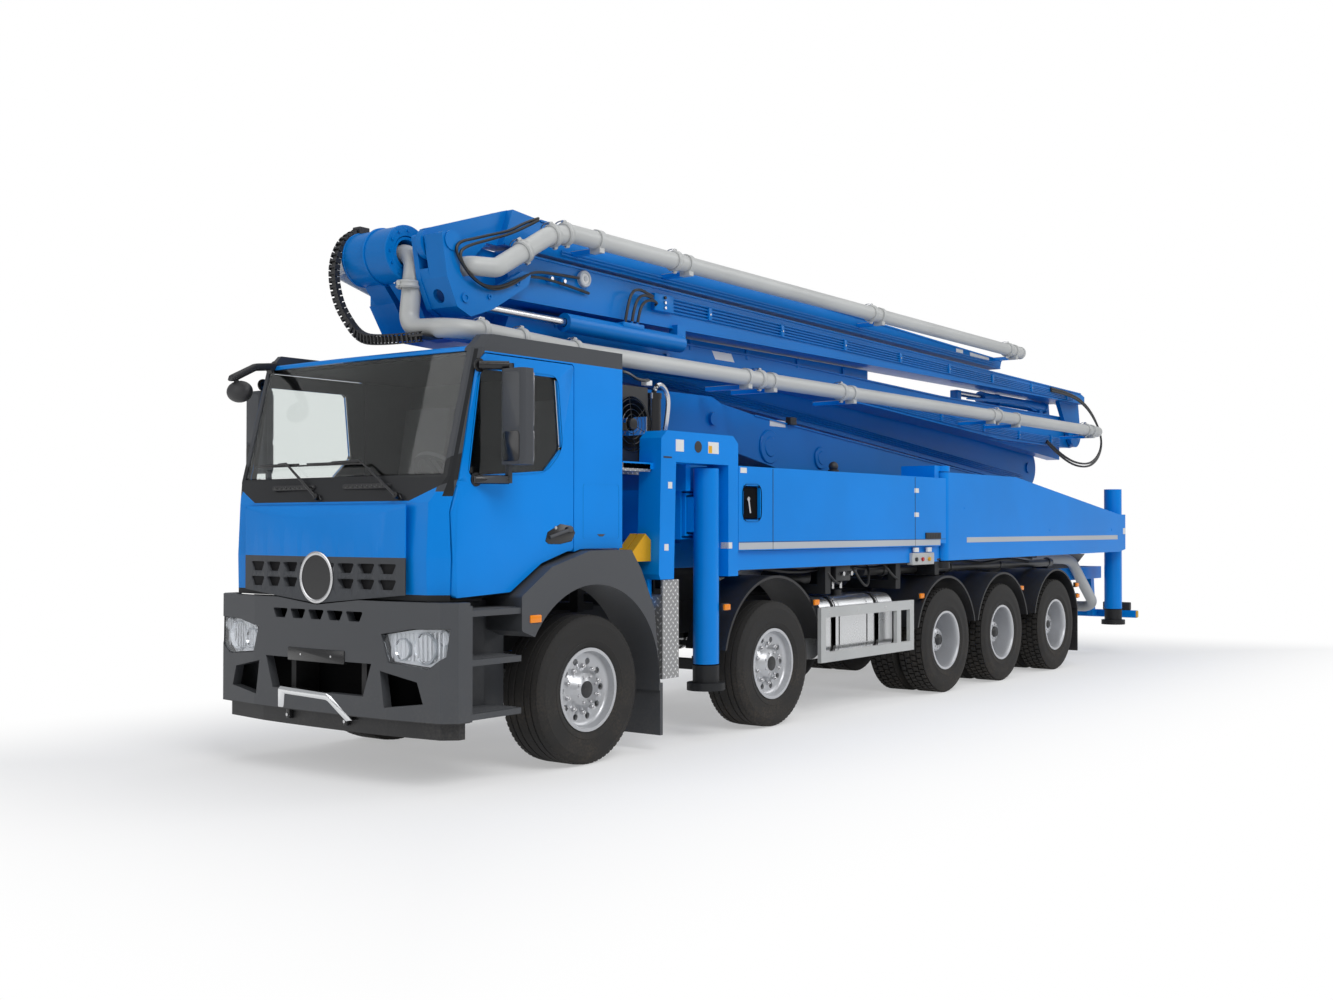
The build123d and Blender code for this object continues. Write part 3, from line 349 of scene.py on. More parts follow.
def pipe_rests(near):
    """The zone of a pipe's rests, under its line; near limits how far from the pipe's side they start."""
    return ({"over_pipe": (-0.2, -0.0635), "y": near, "x": (-5.6, 4.9)}, "body_blue", 0.34),


BLUE = dict(colour="body_blue", rough=0.34, coat=0.06, specular=0.18, grain_scale=420, grain=0.02, dust=0.08,
            vary=0.10)
# the boom's blue at 0.72 of the body's: partly its own deeper paint, partly painted shade
SHADED_BOOM_BLUE = {**BLUE, "shade": 0.72}
GRAINED = dict(colour="trim_grey", rough=0.52, grain_scale=900, grain=0.18, dust=0.25)
PIPE = dict(colour="pipe_grey", rough=0.38, grain_scale=260, grain=0.04, dust=0.2)
ALUMINIUM = dict(colour=(0.66, 0.67, 0.68), metallic=0.9, vary=0.08)
# tread plate: painted highlight on its lozenges, painted shade between them
TREAD_PLATE = dict(colour=(0.55, 0.55, 0.55), rough=0.38, metallic=0.5, grain_scale=160, grain=0.04, dust=0.3,
                   vary=0.08, tread=TREAD_PITCH)
FILM = dict(rough=0.45, grain_scale=500, grain=0.02)
FINISHES = {
    "body_paint": BLUE,
    "cab_paint": {**BLUE, "zones": (
        # pillars, roof rails, panel under the windscreen, inside above the sill, inside below it, underside
        ({"raked_x": (PILLAR_X, None), "z": (1.93, 2.89), "abs_y": (1.03, None)}, "trim_grey", 0.45),
        ({"z": (2.868, None), "abs_y": (1.035, None)}, "trim_grey", 0.45),
        ({"dipped_z": (1.872, 2.046), "x": (6.0, None)}, SOFT_BLACK, 0.35),
        ({"raked_x": (None, 6.115), "x": (CAB_BACK_X, None), "abs_y": (None, 1.128), "z": (1.9, 2.88)},
         SOFT_BLACK, 0.7),
        ({"x": (CAB_BACK_X, DOOR_FRONT_X), "abs_y": (None, 1.10), "z": (None, 1.9)}, SOFT_BLACK, 0.7),
        ({"z": (None, 1.26)}, SOFT_BLACK, 0.6))},
    "door_paint": {**BLUE, "zones": (  # mirrors and seals, the door's inside
        ({"abs_y": (1.1515, None)}, "trim_grey", 0.5),
        ({"abs_y": (None, 1.127), "x": (None, DOOR_FRONT_X)}, SOFT_BLACK, 0.7))},
    "flap_paint": {**BLUE, "zones": (  # the grille, its pockets
        ({"z": (None, 1.50)}, "trim_grey", 0.5),
        ({"z": (1.27, 1.49), "x": (None, 6.2595)}, BLACK, 0.7))},
    "bumper_plastic": {**GRAINED, "zones": (  # the pockets, the lip
        ({"x": (None, 6.215), "abs_y": (None, 0.62), "z": (0.46, 1.17)}, BLACK, 0.6),
        ({"z": (None, 0.4455)}, BLACK, 0.5))},
    "shaded_boom_paint": {**SHADED_BOOM_BLUE, "zones": (({"y": (None, -0.4035)}, "pipe_grey", 0.38),)},  # its far-side pipe
    "shaded_boom_blue": SHADED_BOOM_BLUE,
    "beam_paint": {**BLUE, "zones": (  # the box beams, the posts under the covers
        ({"z": (None, 1.34), "abs_y": (None, 1.03)}, SOFT_BLACK, 0.45),
        ({"z": (None, 1.345), "x": (None, 3.0)}, SOFT_BLACK, 0.45))},
    "jack_paint": {**BLUE, "zones": (({"z": (None, 0.597)}, SOFT_BLACK, 0.5),)},  # the foot
    "pump_paint": {**PIPE, "dust": 0.3, "zones": (  # the pump's cylinders
        ({"z": (1.175, None), "abs_y": (None, 0.35), "x": (None, -0.89)}, "body_blue", 0.3),)},
    "pipe_b_paint": {**PIPE, "pipe_line": (2.9927, 0.07292), "zones": pipe_rests((-0.43, None))},
    "pipe_c_paint": {**PIPE, "pipe_line": (2.9842, 0.00337), "zones": pipe_rests((None, 0.852))},
    "pipe_e_paint": {**PIPE, "pipe_line": (3.8067, 0.01165), "zones": pipe_rests((None, 0.852))},
    "box_metal": {**TREAD_PLATE, "zones": (({"x": (4.1, None)}, "chock_yellow", 0.45),)},  # the wheel chocks
    "tank_metal": {**ALUMINIUM, "rough": 0.26, "grain_scale": 140, "grain": 0.03, "dust": 0.25, "zones": (
        ({"abs_y": (None, 0.5605)}, BLACK, 0.5),)},  # the tanks' inner ends
    "trim_plastic": GRAINED,
    "black_paint": dict(colour="frame_black", rough=0.42, grain_scale=350),
    "black_plastic": dict(colour=(0.018, 0.018, 0.02), rough=0.5, grain_scale=900, grain=0.15, dust=0.3),
    "gloss_black": dict(colour=BLACK, rough=0.22, grain_scale=500, grain=0.02, dust=0.1),
    # near-black sheets put in openings and recesses: painted shade
    "painted_shade_black": dict(colour=(0.003, 0.003, 0.0035), rough=0.8, specular=0.1, grain=0.03, dust=0.05),
    "pipe_paint": PIPE,
    "rim_paint": dict(colour="rim_silver", rough=0.34, metallic=0.55, grain_scale=500, grain=0.03),
    "tyre_rubber": dict(colour="tyre_black", rough=0.78, specular=0.3, grain_scale=240, grain=0.2, dust=0.55,
                        dust_colour=TYRE_DUST),
    "hose_rubber": dict(colour=BLACK, rough=0.45, grain_scale=900, grain=0.12, dust=0.1),
    "bright_steel": dict(colour=(0.62, 0.62, 0.63), rough=0.26, metallic=1.0, grain_scale=700, grain=0.03,
                         dust=0.15, vary=0.06),
    "tank_aluminium": {**ALUMINIUM, "rough": 0.28, "grain_scale": 160, "grain": 0.04, "dust": 0.3},
    "tread_plate": TREAD_PLATE,
    "exhaust_paint": dict(colour=(0.11, 0.11, 0.11), rough=0.45, metallic=0.4, grain_scale=200, grain=0.06,
                          dust=0.4),
    "seat_cloth": dict(colour=(0.05, 0.05, 0.055), rough=0.85, grain_scale=1200, grain=0.3, dust=0.0),
    "yellow_paint": dict(colour="chock_yellow", rough=0.42, grain_scale=420, grain=0.03, dust=0.15),
    "pale_film": {**FILM, "colour": (0.50, 0.53, 0.56), "dust": 0.15, "vary": 0.06},
    "white_film": {**FILM, "colour": (0.78, 0.78, 0.77), "dust": 0.1, "vary": 0.05},
    "lamp_silver": dict(colour=(0.78, 0.79, 0.80), rough=0.14, metallic=1.0, grain_scale=90, grain=0.25,
                        dust=0.0, vary=0.1),
    # pale, mostly non-metal paint on the headlights' backs and ribs: painted reflection in place of their chrome
    "lamp_back_painted_reflection": dict(colour=(0.85, 0.86, 0.87), rough=0.22, metallic=0.15, grain_scale=120, grain=0.1,
                         dust=0.0),
}
CLEAR_FINISHES = {
    "cab_glass": dict(colour=(0.84, 0.87, 0.86), rough=0.0, transmission=1.0, ior=GLASS_IOR),
    "lamp_glass": dict(colour=(0.9, 0.92, 0.95), rough=0.02, transmission=1.0, ior=GLASS_IOR),
    "orange_lens": dict(colour="marker_orange", rough=0.12),
    "red_lens": dict(colour=(0.45, 0.01, 0.01), rough=0.12),
}


def finish(name):
    """The material of that name, made when it is first asked for."""
    if name not in MADE:
        clear = name in CLEAR_FINISHES
        MADE[name] = clear_material(name, **CLEAR_FINISHES[name]) if clear else finish_material(name, **FINISHES[name])
    return MADE[name]


# ------------------------------------------------------------------ mesh helpers
FLANGE = 0.014  # thickness of a weld flange
PLACE = {  # how an outline and its depth lie in space, by the axis it is pushed along
    "X": lambda a, b, c: (c, a, b), "Y": lambda a, b, c: (a, c, b), "Z": lambda a, b, c: (a, b, c),
}


def put_object(name, data, place=(0, 0, 0)):
    """Makes an object and puts it in the scene."""
    holder = bpy.data.objects.new(name, data)
    holder.location = place
    bpy.context.scene.collection.objects.link(holder)
    return holder


def put_piece(name, bm, body, finishes, smooth=35.0):
    """Turns a bmesh into a finished piece that rides on a body; finishes is one name, or a list by index."""
    mesh = bpy.data.meshes.new(name)
    bm.normal_update()
    bm.to_mesh(mesh)
    bm.free()
    piece = put_object(name, mesh)
    for finish_name in [finishes] if isinstance(finishes, str) else finishes:
        mesh.materials.append(finish(finish_name))
    if smooth:
        mesh.shade_smooth()
        mesh.set_sharp_from_angle(angle=math.radians(smooth))
    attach(piece, body)
    return piece


def node_copy(node):
    """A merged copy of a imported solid."""
    bm = bmesh.new()
    bm.from_mesh(frame["nodes"][node].data)
    bmesh.ops.remove_doubles(bm, verts=bm.verts, dist=MERGE)
    return bm


def put_skin(node, bm, finish_name):
    """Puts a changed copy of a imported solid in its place. Its large faces rule its shading, so that its long
    thin ones don't streak."""
    skin = put_piece(f"{node}_skin", bm, node, finish_name, smooth=30)
    skin.modifiers.new("even_shading", "WEIGHTED_NORMAL").keep_sharp = True
    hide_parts(node)


def paint_faces(faces, index):
    for face in faces:
        face.material_index = index


def faces_of(verts):
    return list(dict.fromkeys(face for vert in verts for face in vert.link_faces))


def soften(bm, faces, bevel, index, sharper_than=-1.0):
    """Rounds those edges of some faces that turn by more than an angle, if there is a bevel."""
    if not bevel:
        return
    edges = dict.fromkeys(edge for face in faces for edge in face.edges)
    grown = bmesh.ops.bevel(
        bm, geom=[edge for edge in edges if edge.calc_face_angle(0.0) > sharper_than], offset=bevel,
        offset_type="OFFSET", affect="EDGES", segments=2, profile=0.5, material=-1)
    paint_faces(grown["faces"], index)


def add_block(bm, size, centre=(0, 0, 0)):
    """Adds a plain block, and gives its corners."""
    verts = bmesh.ops.create_cube(bm, size=1.0)["verts"]
    bmesh.ops.scale(bm, vec=size, verts=verts)
    bmesh.ops.translate(bm, vec=centre, verts=verts)
    return verts


def turn_verts(bm, verts, turn):
    bmesh.ops.rotate(bm, cent=(0, 0, 0), matrix=turn, verts=verts)


def add_box(bm, low, high, bevel=0.0, index=0):
    """Adds a box between two corners, with its edges rounded."""
    low, high = Vector(low), Vector(high)
    faces = faces_of(add_block(bm, high - low, (low + high) / 2))
    paint_faces(faces, index)
    soften(bm, faces, bevel, index)


def add_ball(bm, centre, radii, segments, rings, index=0):
    """Adds a ball, stretched by its radii."""
    verts = bmesh.ops.create_uvsphere(bm, u_segments=segments, v_segments=rings, radius=1.0)["verts"]
    bmesh.ops.scale(bm, vec=radii, verts=verts)
    bmesh.ops.translate(bm, vec=centre, verts=verts)
    paint_faces(faces_of(verts), index)


def add_rod(bm, start, end, radius, index=0, sides=24, radius_end=None):
    """Adds a round bar or cone between two points."""
    start, end = Vector(start), Vector(end)
    run = end - start
    verts = bmesh.ops.create_cone(
        bm, cap_ends=True, cap_tris=False, segments=sides, radius1=radius,
        radius2=radius if radius_end is None else radius_end, depth=run.length)["verts"]
    turn_verts(bm, verts, run.to_track_quat("Z", "Y").to_matrix())
    bmesh.ops.translate(bm, vec=(start + end) / 2, verts=verts)
    paint_faces(faces_of(verts), index)


def thicken(bm, faces, move, index, bevel, sharper_than):
    """Pushes flat faces along move, and finishes the solid that this makes."""
    verts = [vert for face in faces for vert in face.verts]
    pushed = bmesh.ops.extrude_face_region(bm, geom=faces)["geom"]
    moved = [item for item in pushed if isinstance(item, bmesh.types.BMVert)]
    bmesh.ops.translate(bm, vec=move, verts=moved)
    made = faces_of(verts + moved)
    bmesh.ops.recalc_face_normals(bm, faces=made)
    paint_faces(made, index)
    soften(bm, made, bevel, index, sharper_than)


def add_plate(bm, outline, low, high, axis="Y", index=0, bevel=0.0):
    """Adds a flat outline as thick as low to high: (x, z) points across Y, (x, y) across Z, (y, z) across X."""
    place = PLACE[axis]
    face = bm.faces.new([bm.verts.new(place(a, b, low)) for a, b in outline])
    thicken(bm, [face], place(0, 0, high - low), index, bevel, -1.0)


def add_ring(bm, outline, width, low, high, axis="Y", index=0, bevel=0.0):
    """Adds a flat frame inside an outline, as thick as low to high."""
    place = PLACE[axis]
    face = bm.faces.new([bm.verts.new(place(a, b, low)) for a, b in outline])
    ring = bmesh.ops.inset_region(bm, faces=[face], thickness=width, use_even_offset=True, use_boundary=True)["faces"]
    bmesh.ops.delete(bm, geom=[face], context="FACES_ONLY")
    thicken(bm, ring, place(0, 0, high - low), index, bevel, 0.6)


def add_flange(bm, points, low, high):
    """Adds a thin strip along (x, z) points in a side view, between two y values."""
    for (x0, z0), (x1, z1) in zip(points, points[1:]):
        add_plate(bm, [(x0, z0), (x1, z1), (x1, z1 + FLANGE), (x0, z0 + FLANGE)], low, high)


def add_spin(bm, profile, centre, axis, steps=64, index=0):
    """Adds a closed ring or bowl turned about an axis through centre, from (radius, along) points."""
    axis = Vector(axis).normalized()
    side = axis.orthogonal().normalized()
    centre = Vector(centre)
    before = set(bm.faces)
    verts = [bm.verts.new(centre + side * radius + axis * along) for radius, along in profile]
    edges = [bm.edges.new(pair) for pair in zip(verts, verts[1:])]
    bmesh.ops.spin(bm, geom=verts + edges, cent=centre, axis=axis, angle=2 * math.pi, steps=steps,
                   use_merge=True, use_duplicate=False)
    faces = [face for face in bm.faces if face not in before]
    paint_faces(faces, index)
    bmesh.ops.remove_doubles(bm, verts=list(dict.fromkeys(v for f in faces for v in f.verts)), dist=1e-6)
    bmesh.ops.recalc_face_normals(bm, faces=[face for face in faces if face.is_valid])


def curve_mesh(points, resolution, radius=0.0, sides=4):
    """Mesh of a smooth curve through its control points, and of the round bar on it if it has a radius."""
    curve = bpy.data.curves.new("route", "CURVE")
    curve.dimensions = "3D"
    curve.bevel_depth, curve.bevel_resolution = radius, max(0, sides // 4 - 1)
    curve.use_fill_caps = True
    spline = curve.splines.new("NURBS")
    spline.points.add(len(points) - 1)
    for point, place in zip(spline.points, points):
        point.co = (*place, 1)
    spline.order_u, spline.use_endpoint_u = 3, True
    spline.resolution_u = resolution
    holder = put_object("route", curve)
    mesh = bpy.data.meshes.new_from_object(holder.evaluated_get(bpy.context.evaluated_depsgraph_get()))
    bpy.data.objects.remove(holder)
    bpy.data.curves.remove(curve)
    return mesh


def add_mesh(bm, mesh):
    """Adds a loose mesh, and gives up its data."""
    bm.from_mesh(mesh)
    bpy.data.meshes.remove(mesh)


def add_tube(bm, points, radius, index=0, sides=10, resolution=6):
    """Adds a round hose or line along a smooth curve through its control points."""
    before = len(bm.faces)
    add_mesh(bm, curve_mesh(points, resolution, radius, sides))
    bm.faces.ensure_lookup_table()
    paint_faces(bm.faces[before:], index)


def mirror_y(bm):
    """Copies everything so far to the other side of the truck."""
    made = bmesh.ops.duplicate(bm, geom=bm.verts[:] + bm.edges[:] + bm.faces[:])["geom"]
    bmesh.ops.scale(bm, vec=(1, -1, 1), verts=[item for item in made if isinstance(item, bmesh.types.BMVert)])
    bmesh.ops.reverse_faces(bm, faces=[item for item in made if isinstance(item, bmesh.types.BMFace)])


def to_side(bm, side):
    """Turns a left-hand bmesh into its right-hand twin."""
    if side < 0:
        bmesh.ops.scale(bm, vec=(1, -1, 1), verts=bm.verts)
        bmesh.ops.reverse_faces(bm, faces=bm.faces)


def rounded(low_a, high_a, low_b, high_b, radius, steps=4):
    """Outline of a rectangle with rounded corners."""
    points = []
    for centre_a, centre_b, start in ((high_a - radius, high_b - radius, 0), (low_a + radius, high_b - radius, 90),
                                      (low_a + radius, low_b + radius, 180), (high_a - radius, low_b + radius, 270)):
        for k in range(steps + 1):
            turn = math.radians(start + 90 * k / steps)
            points.append((centre_a + radius * math.cos(turn), centre_b + radius * math.sin(turn)))
    return points


def soft_corners(outline, radius, steps=5):
    """An outline with its corners cut round."""
    points = []
    for before, corner, after in zip(outline[-1:] + outline[:-1], outline, outline[1:] + outline[:1]):
        corner, before, after = Vector(corner), Vector(before), Vector(after)
        start = corner + (before - corner).normalized() * radius
        end = corner + (after - corner).normalized() * radius
        for k in range(steps + 1):
            t = k / steps
            points.append(tuple(start * (1 - t) ** 2 + corner * 2 * t * (1 - t) + end * t ** 2))
    return points


def bumper_x(y):
    """How far forward the bumper's bowed face stands: three bends, each further back."""
    y = abs(y)
    if y < 0.70:
        return 6.306 - 0.016 * (y / 0.70) ** 2
    return 6.290 - 0.055 * (y - 0.70) / 0.45 if y < 1.15 else 6.235 - 0.075 * (y - 1.15) / 0.09


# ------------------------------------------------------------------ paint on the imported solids
FINISH_BY_SLOT = {
    "frame_paint": "black_paint", "cast_iron": "black_paint", "cooler_paint": "black_paint",
    "blue_paint": "body_paint", "grey_paint": "pipe_paint", "dark_plastic": "trim_plastic",
    "interior_plastic": "seat_cloth", "glass": "cab_glass", "lamp_plastic": "lamp_glass",
    "aluminium": "tank_aluminium", "chrome": "bright_steel", "tyre": "tyre_rubber",
}
FINISH_BY_NODE = {  # where it differs from the slot's
    "cab_shell": "cab_paint", "front_flap": "flap_paint", "steps_and_wheel_arches": "trim_plastic",
    "mudguards": "black_plastic",
    "bumper": "bumper_plastic", "support_frame": "beam_paint", "turntable": "shaded_boom_paint", "boom_a": "shaded_boom_paint",
    **{f"{side}_door": "door_paint" for side, _ in SIDES},
    **{f"boom_{section}": "shaded_boom_blue" for section in "bcde"},
    **{f"pipe_{section}": f"pipe_{section}_paint" for section in "bce"},
    **{f"{side}_{end}_jack": "jack_paint" for side, _ in SIDES for end in ("front", "rear")},
    "concrete_pump": "pump_paint", "tool_boxes": "box_metal", "fuel_tanks": "tank_metal",
}


class PUMPTRUCK_OT_paint(bpy.types.Operator):
    """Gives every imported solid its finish"""
    bl_idname = "pump_truck.paint"
    bl_label = "Paint solids"

    def execute(self, context):
        slots = {part["node"]: part["material_slot"] for part in frame["record"]["subparts"]}
        for name, node in frame["nodes"].items():
            node.data.materials.clear()
            node.data.materials.append(finish(FINISH_BY_NODE.get(name, FINISH_BY_SLOT[slots[name]])))
        return {"FINISHED"}


# ------------------------------------------------------------------ wheels
STEERED_HALF, DRIVEN_HALF = 0.190, 0.153  # half widths of the tyres
STEERED_GROOVES = (-0.105, -0.045, 0.045, 0.105)
TYRE_WALL = ((0.287, 0.79), (0.299, 0.86), (0.335, 0.955), (0.352, 0.985), (0.356, 0.97), (0.42, 1), (0.47, 1),
             (0.474, 0.985), (0.503, 0.94), (0.525, 0.86))  # radius, share of the half width
DRIVEN_ROWS = ((-0.098, 0.044, 0), (-0.034, 0.052, 0.5), (0.034, 0.052, 0), (0.098, 0.044, 0.5))  # y, width, phase
LUGS, SHOULDER_LUGS, LUG_SKEW = 54, 72, 0.12
RIM_EDGE = 0.3004  # radius outside which a packed wheel is tyre
NUT_RING = 0.1675
STEERED_CAP = ((0.0, 0.002), (0.062, 0.0), (0.074, -0.006), (0.078, -0.024))  # hub caps: radius, along
DRIVEN_CAP = ((0.0, 0.030), (0.052, 0.026), (0.060, 0.0))
LAST_CAP = ((0.0, 0.012), (0.040, 0.010), (0.050, 0.0))


def tyre_profile(half_width, grooves, crown):
    """Closed section of a tyre, as (radius, along the axle) points."""
    wall = [(radius, -half_width * share) for radius, share in (*TYRE_WALL, (crown - 0.004, TYRE_WALL[0][1]))]
    tread = []
    for y in grooves:
        tread += [(crown, y - 0.007), (crown - 0.014, y - 0.004), (crown - 0.014, y + 0.004), (crown, y + 0.007)]
    return wall + tread + [(radius, -along) for radius, along in reversed(wall)] + wall[:1]


def add_lugs(bm):
    """Staggered tread blocks of a driven wheel's tyre, round the origin."""
    for y, width, phase in DRIVEN_ROWS:
        for k in range(LUGS):
            verts = add_block(bm, (0.046, width, 0.022))
            turn_verts(bm, verts, Matrix.Rotation(LUG_SKEW if phase else -LUG_SKEW, 3, "Z"))
            bmesh.ops.translate(bm, vec=(0, y, TYRE_R - 0.0125), verts=verts)
            turn_verts(bm, verts, Matrix.Rotation(2 * math.pi * (k + phase) / LUGS, 3, "Y"))


def add_shoulder_lugs(bm):
    """Short ribs across the shoulders of a steered wheel's tyre."""
    for side in (-1, 1):
        for k in range(SHOULDER_LUGS):
            verts = add_block(bm, (0.030, 0.020, 0.012), (0, side * STEERED_HALF * 0.80, TYRE_R - 0.011))
            turn_verts(bm, verts, Matrix.Rotation(2 * math.pi * k / SHOULDER_LUGS, 3, "Y"))


def add_nuts(bm, face_y, side, length, ring, radius, count):
    """Hexagonal nuts with their studs, round the hub."""
    for k in range(count):
        turn = 2 * math.pi * (k + 0.5) / count
        x, z = ring * math.cos(turn), ring * math.sin(turn)
        add_rod(bm, (x, face_y, z), (x, face_y + side * length, z), radius, index=1, sides=6)
        add_rod(bm, (x, face_y, z), (x, face_y + side * length * 1.5, z), radius * 0.55, index=1, sides=10)


class PUMPTRUCK_OT_wheels(bpy.types.Operator):
    """Tyres with tread, and rims with nuts and hub caps"""
    bl_idname = "pump_truck.wheels"
    bl_label = "Wheels"

    def execute(self, context):
        steered, driven = bmesh.new(), bmesh.new()
        add_spin(steered, tyre_profile(STEERED_HALF, STEERED_GROOVES, TYRE_R), (0, 0, 0), ALONG_Y, steps=96)
        add_shoulder_lugs(steered)
        for offset in (0, -TWIN_SPACING):
            one = bmesh.new()
            add_spin(one, tyre_profile(DRIVEN_HALF, (), TYRE_R - 0.016), (0, 0, 0), ALONG_Y, steps=80)
            add_lugs(one)
            bmesh.ops.translate(one, vec=(0, offset, 0), verts=one.verts)
            mesh = bpy.data.meshes.new("twin")
            one.to_mesh(mesh)
            one.free()
            add_mesh(driven, mesh)
        for number, x in zip(("front", "second", "third", "fourth", "fifth"), AXLE_X):
            is_steered = number in ("front", "second")
            for side_name, side in SIDES:
                name = f"{number}_{side_name}_wheel" + ("" if is_steered else "s")
                axle = (x, side * (SINGLE_Y if is_steered else TWIN_Y), TYRE_R)
                tyre = (steered if is_steered else driven).copy()
                to_side(tyre, side)
                bmesh.ops.translate(tyre, vec=axle, verts=tyre.verts)
                put_piece(f"{name}_tyres", tyre, name, "tyre_rubber")
                self.rim(name, axle, side, is_steered, number == "fifth")
        steered.free()
        driven.free()
        return {"FINISHED"}

    def rim(self, name, axle, side, is_steered, is_last):
        """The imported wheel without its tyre, with nuts and a hub cap."""
        bm = node_copy(name)
        bmesh.ops.translate(bm, vec=-Vector(axle), verts=bm.verts)
        tyre = [face for face in bm.faces if any(math.hypot(v.co.x, v.co.z) > RIM_EDGE for v in face.verts)]
        bmesh.ops.delete(bm, geom=tyre, context="FACES")
        add_nuts(bm, side * (0.098 if is_steered else -0.166), side, 0.026, NUT_RING, 0.0165, sizes().wheel_nuts)
        if is_steered:
            cap, hub_face = STEERED_CAP, 0.150
            add_nuts(bm, side * 0.149, side, 0.010, 0.097, 0.009, 8)
        else:
            cap, hub_face = LAST_CAP if is_last else DRIVEN_CAP, 0.040
            add_nuts(bm, side * 0.039, side, 0.008, 0.080, 0.009, 10)
        profile = [(radius, side * along) for radius, along in cap]
        add_spin(bm, profile, (0, side * hub_face, 0), ALONG_Y, steps=32, index=2)
        bmesh.ops.translate(bm, vec=axle, verts=bm.verts)
        rim = put_piece(f"{name}_rims", bm, name, ["rim_paint", "bright_steel", "black_paint"], smooth=32)
        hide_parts(name)


# ------------------------------------------------------------------ cab
DOOR_WINDOW_OUTLINE = [(5.905, 2.712), (6.005, 2.022), (5.266, 2.077), (5.096, 2.245), (5.146, 2.760), (5.882, 2.760)]
FLAP_TRIM_X, FLAP_SET_BACK = 6.262, 0.010
BADGE_Z = 1.358
BADGE_RIM = [(0.152, 6.262), (0.152, 6.3060), (0.157, 6.3092), (0.172, 6.3092), (0.177, 6.3060), (0.177, 6.262),
             (0.152, 6.262)]
MIRROR_SHIFT = 0.15  # the mirrors hang this far behind their arms' feet
DOOR_HANDLE = [(5.272, 1.602), (5.250, 1.665), (5.120, 1.722), (5.005, 1.708), (4.968, 1.660), (5.002, 1.600),
               (5.120, 1.580), (5.240, 1.582)]
TOW_BAR = [(-0.410, 0.446), (-0.412, 0.575), (-0.385, 0.597), (0.115, 0.580), (0.165, 0.562), (0.380, 0.414),
           (0.320, 0.402), (0.125, 0.524), (0.100, 0.530), (-0.342, 0.543), (-0.350, 0.446)]
KERB_ARM = [(5.900, 2.925), (6.080, 2.905), (6.285, 2.800), (6.296, 2.760), (6.255, 2.758), (6.080, 2.850),
            (5.915, 2.868)]
WIPERS = ((-0.870, -0.330, -0.100, -0.500), (-0.330, 0.310, 0.720, 0.300))  # blade y from, to, pivot y, arm end y
LAMP_OUTLINE = [(0.650, 1.000), (0.715, 0.815), (1.050, 0.785), (1.180, 0.870), (1.200, 1.050), (0.900, 1.040)]
LAMP_MIDDLE = (0.93, 0.92)
LAMP_BOWLS = ((0.985, 0.915, 0.098), (0.800, 0.905, 0.068), (1.130, 0.985, 0.050))  # y, z, radius


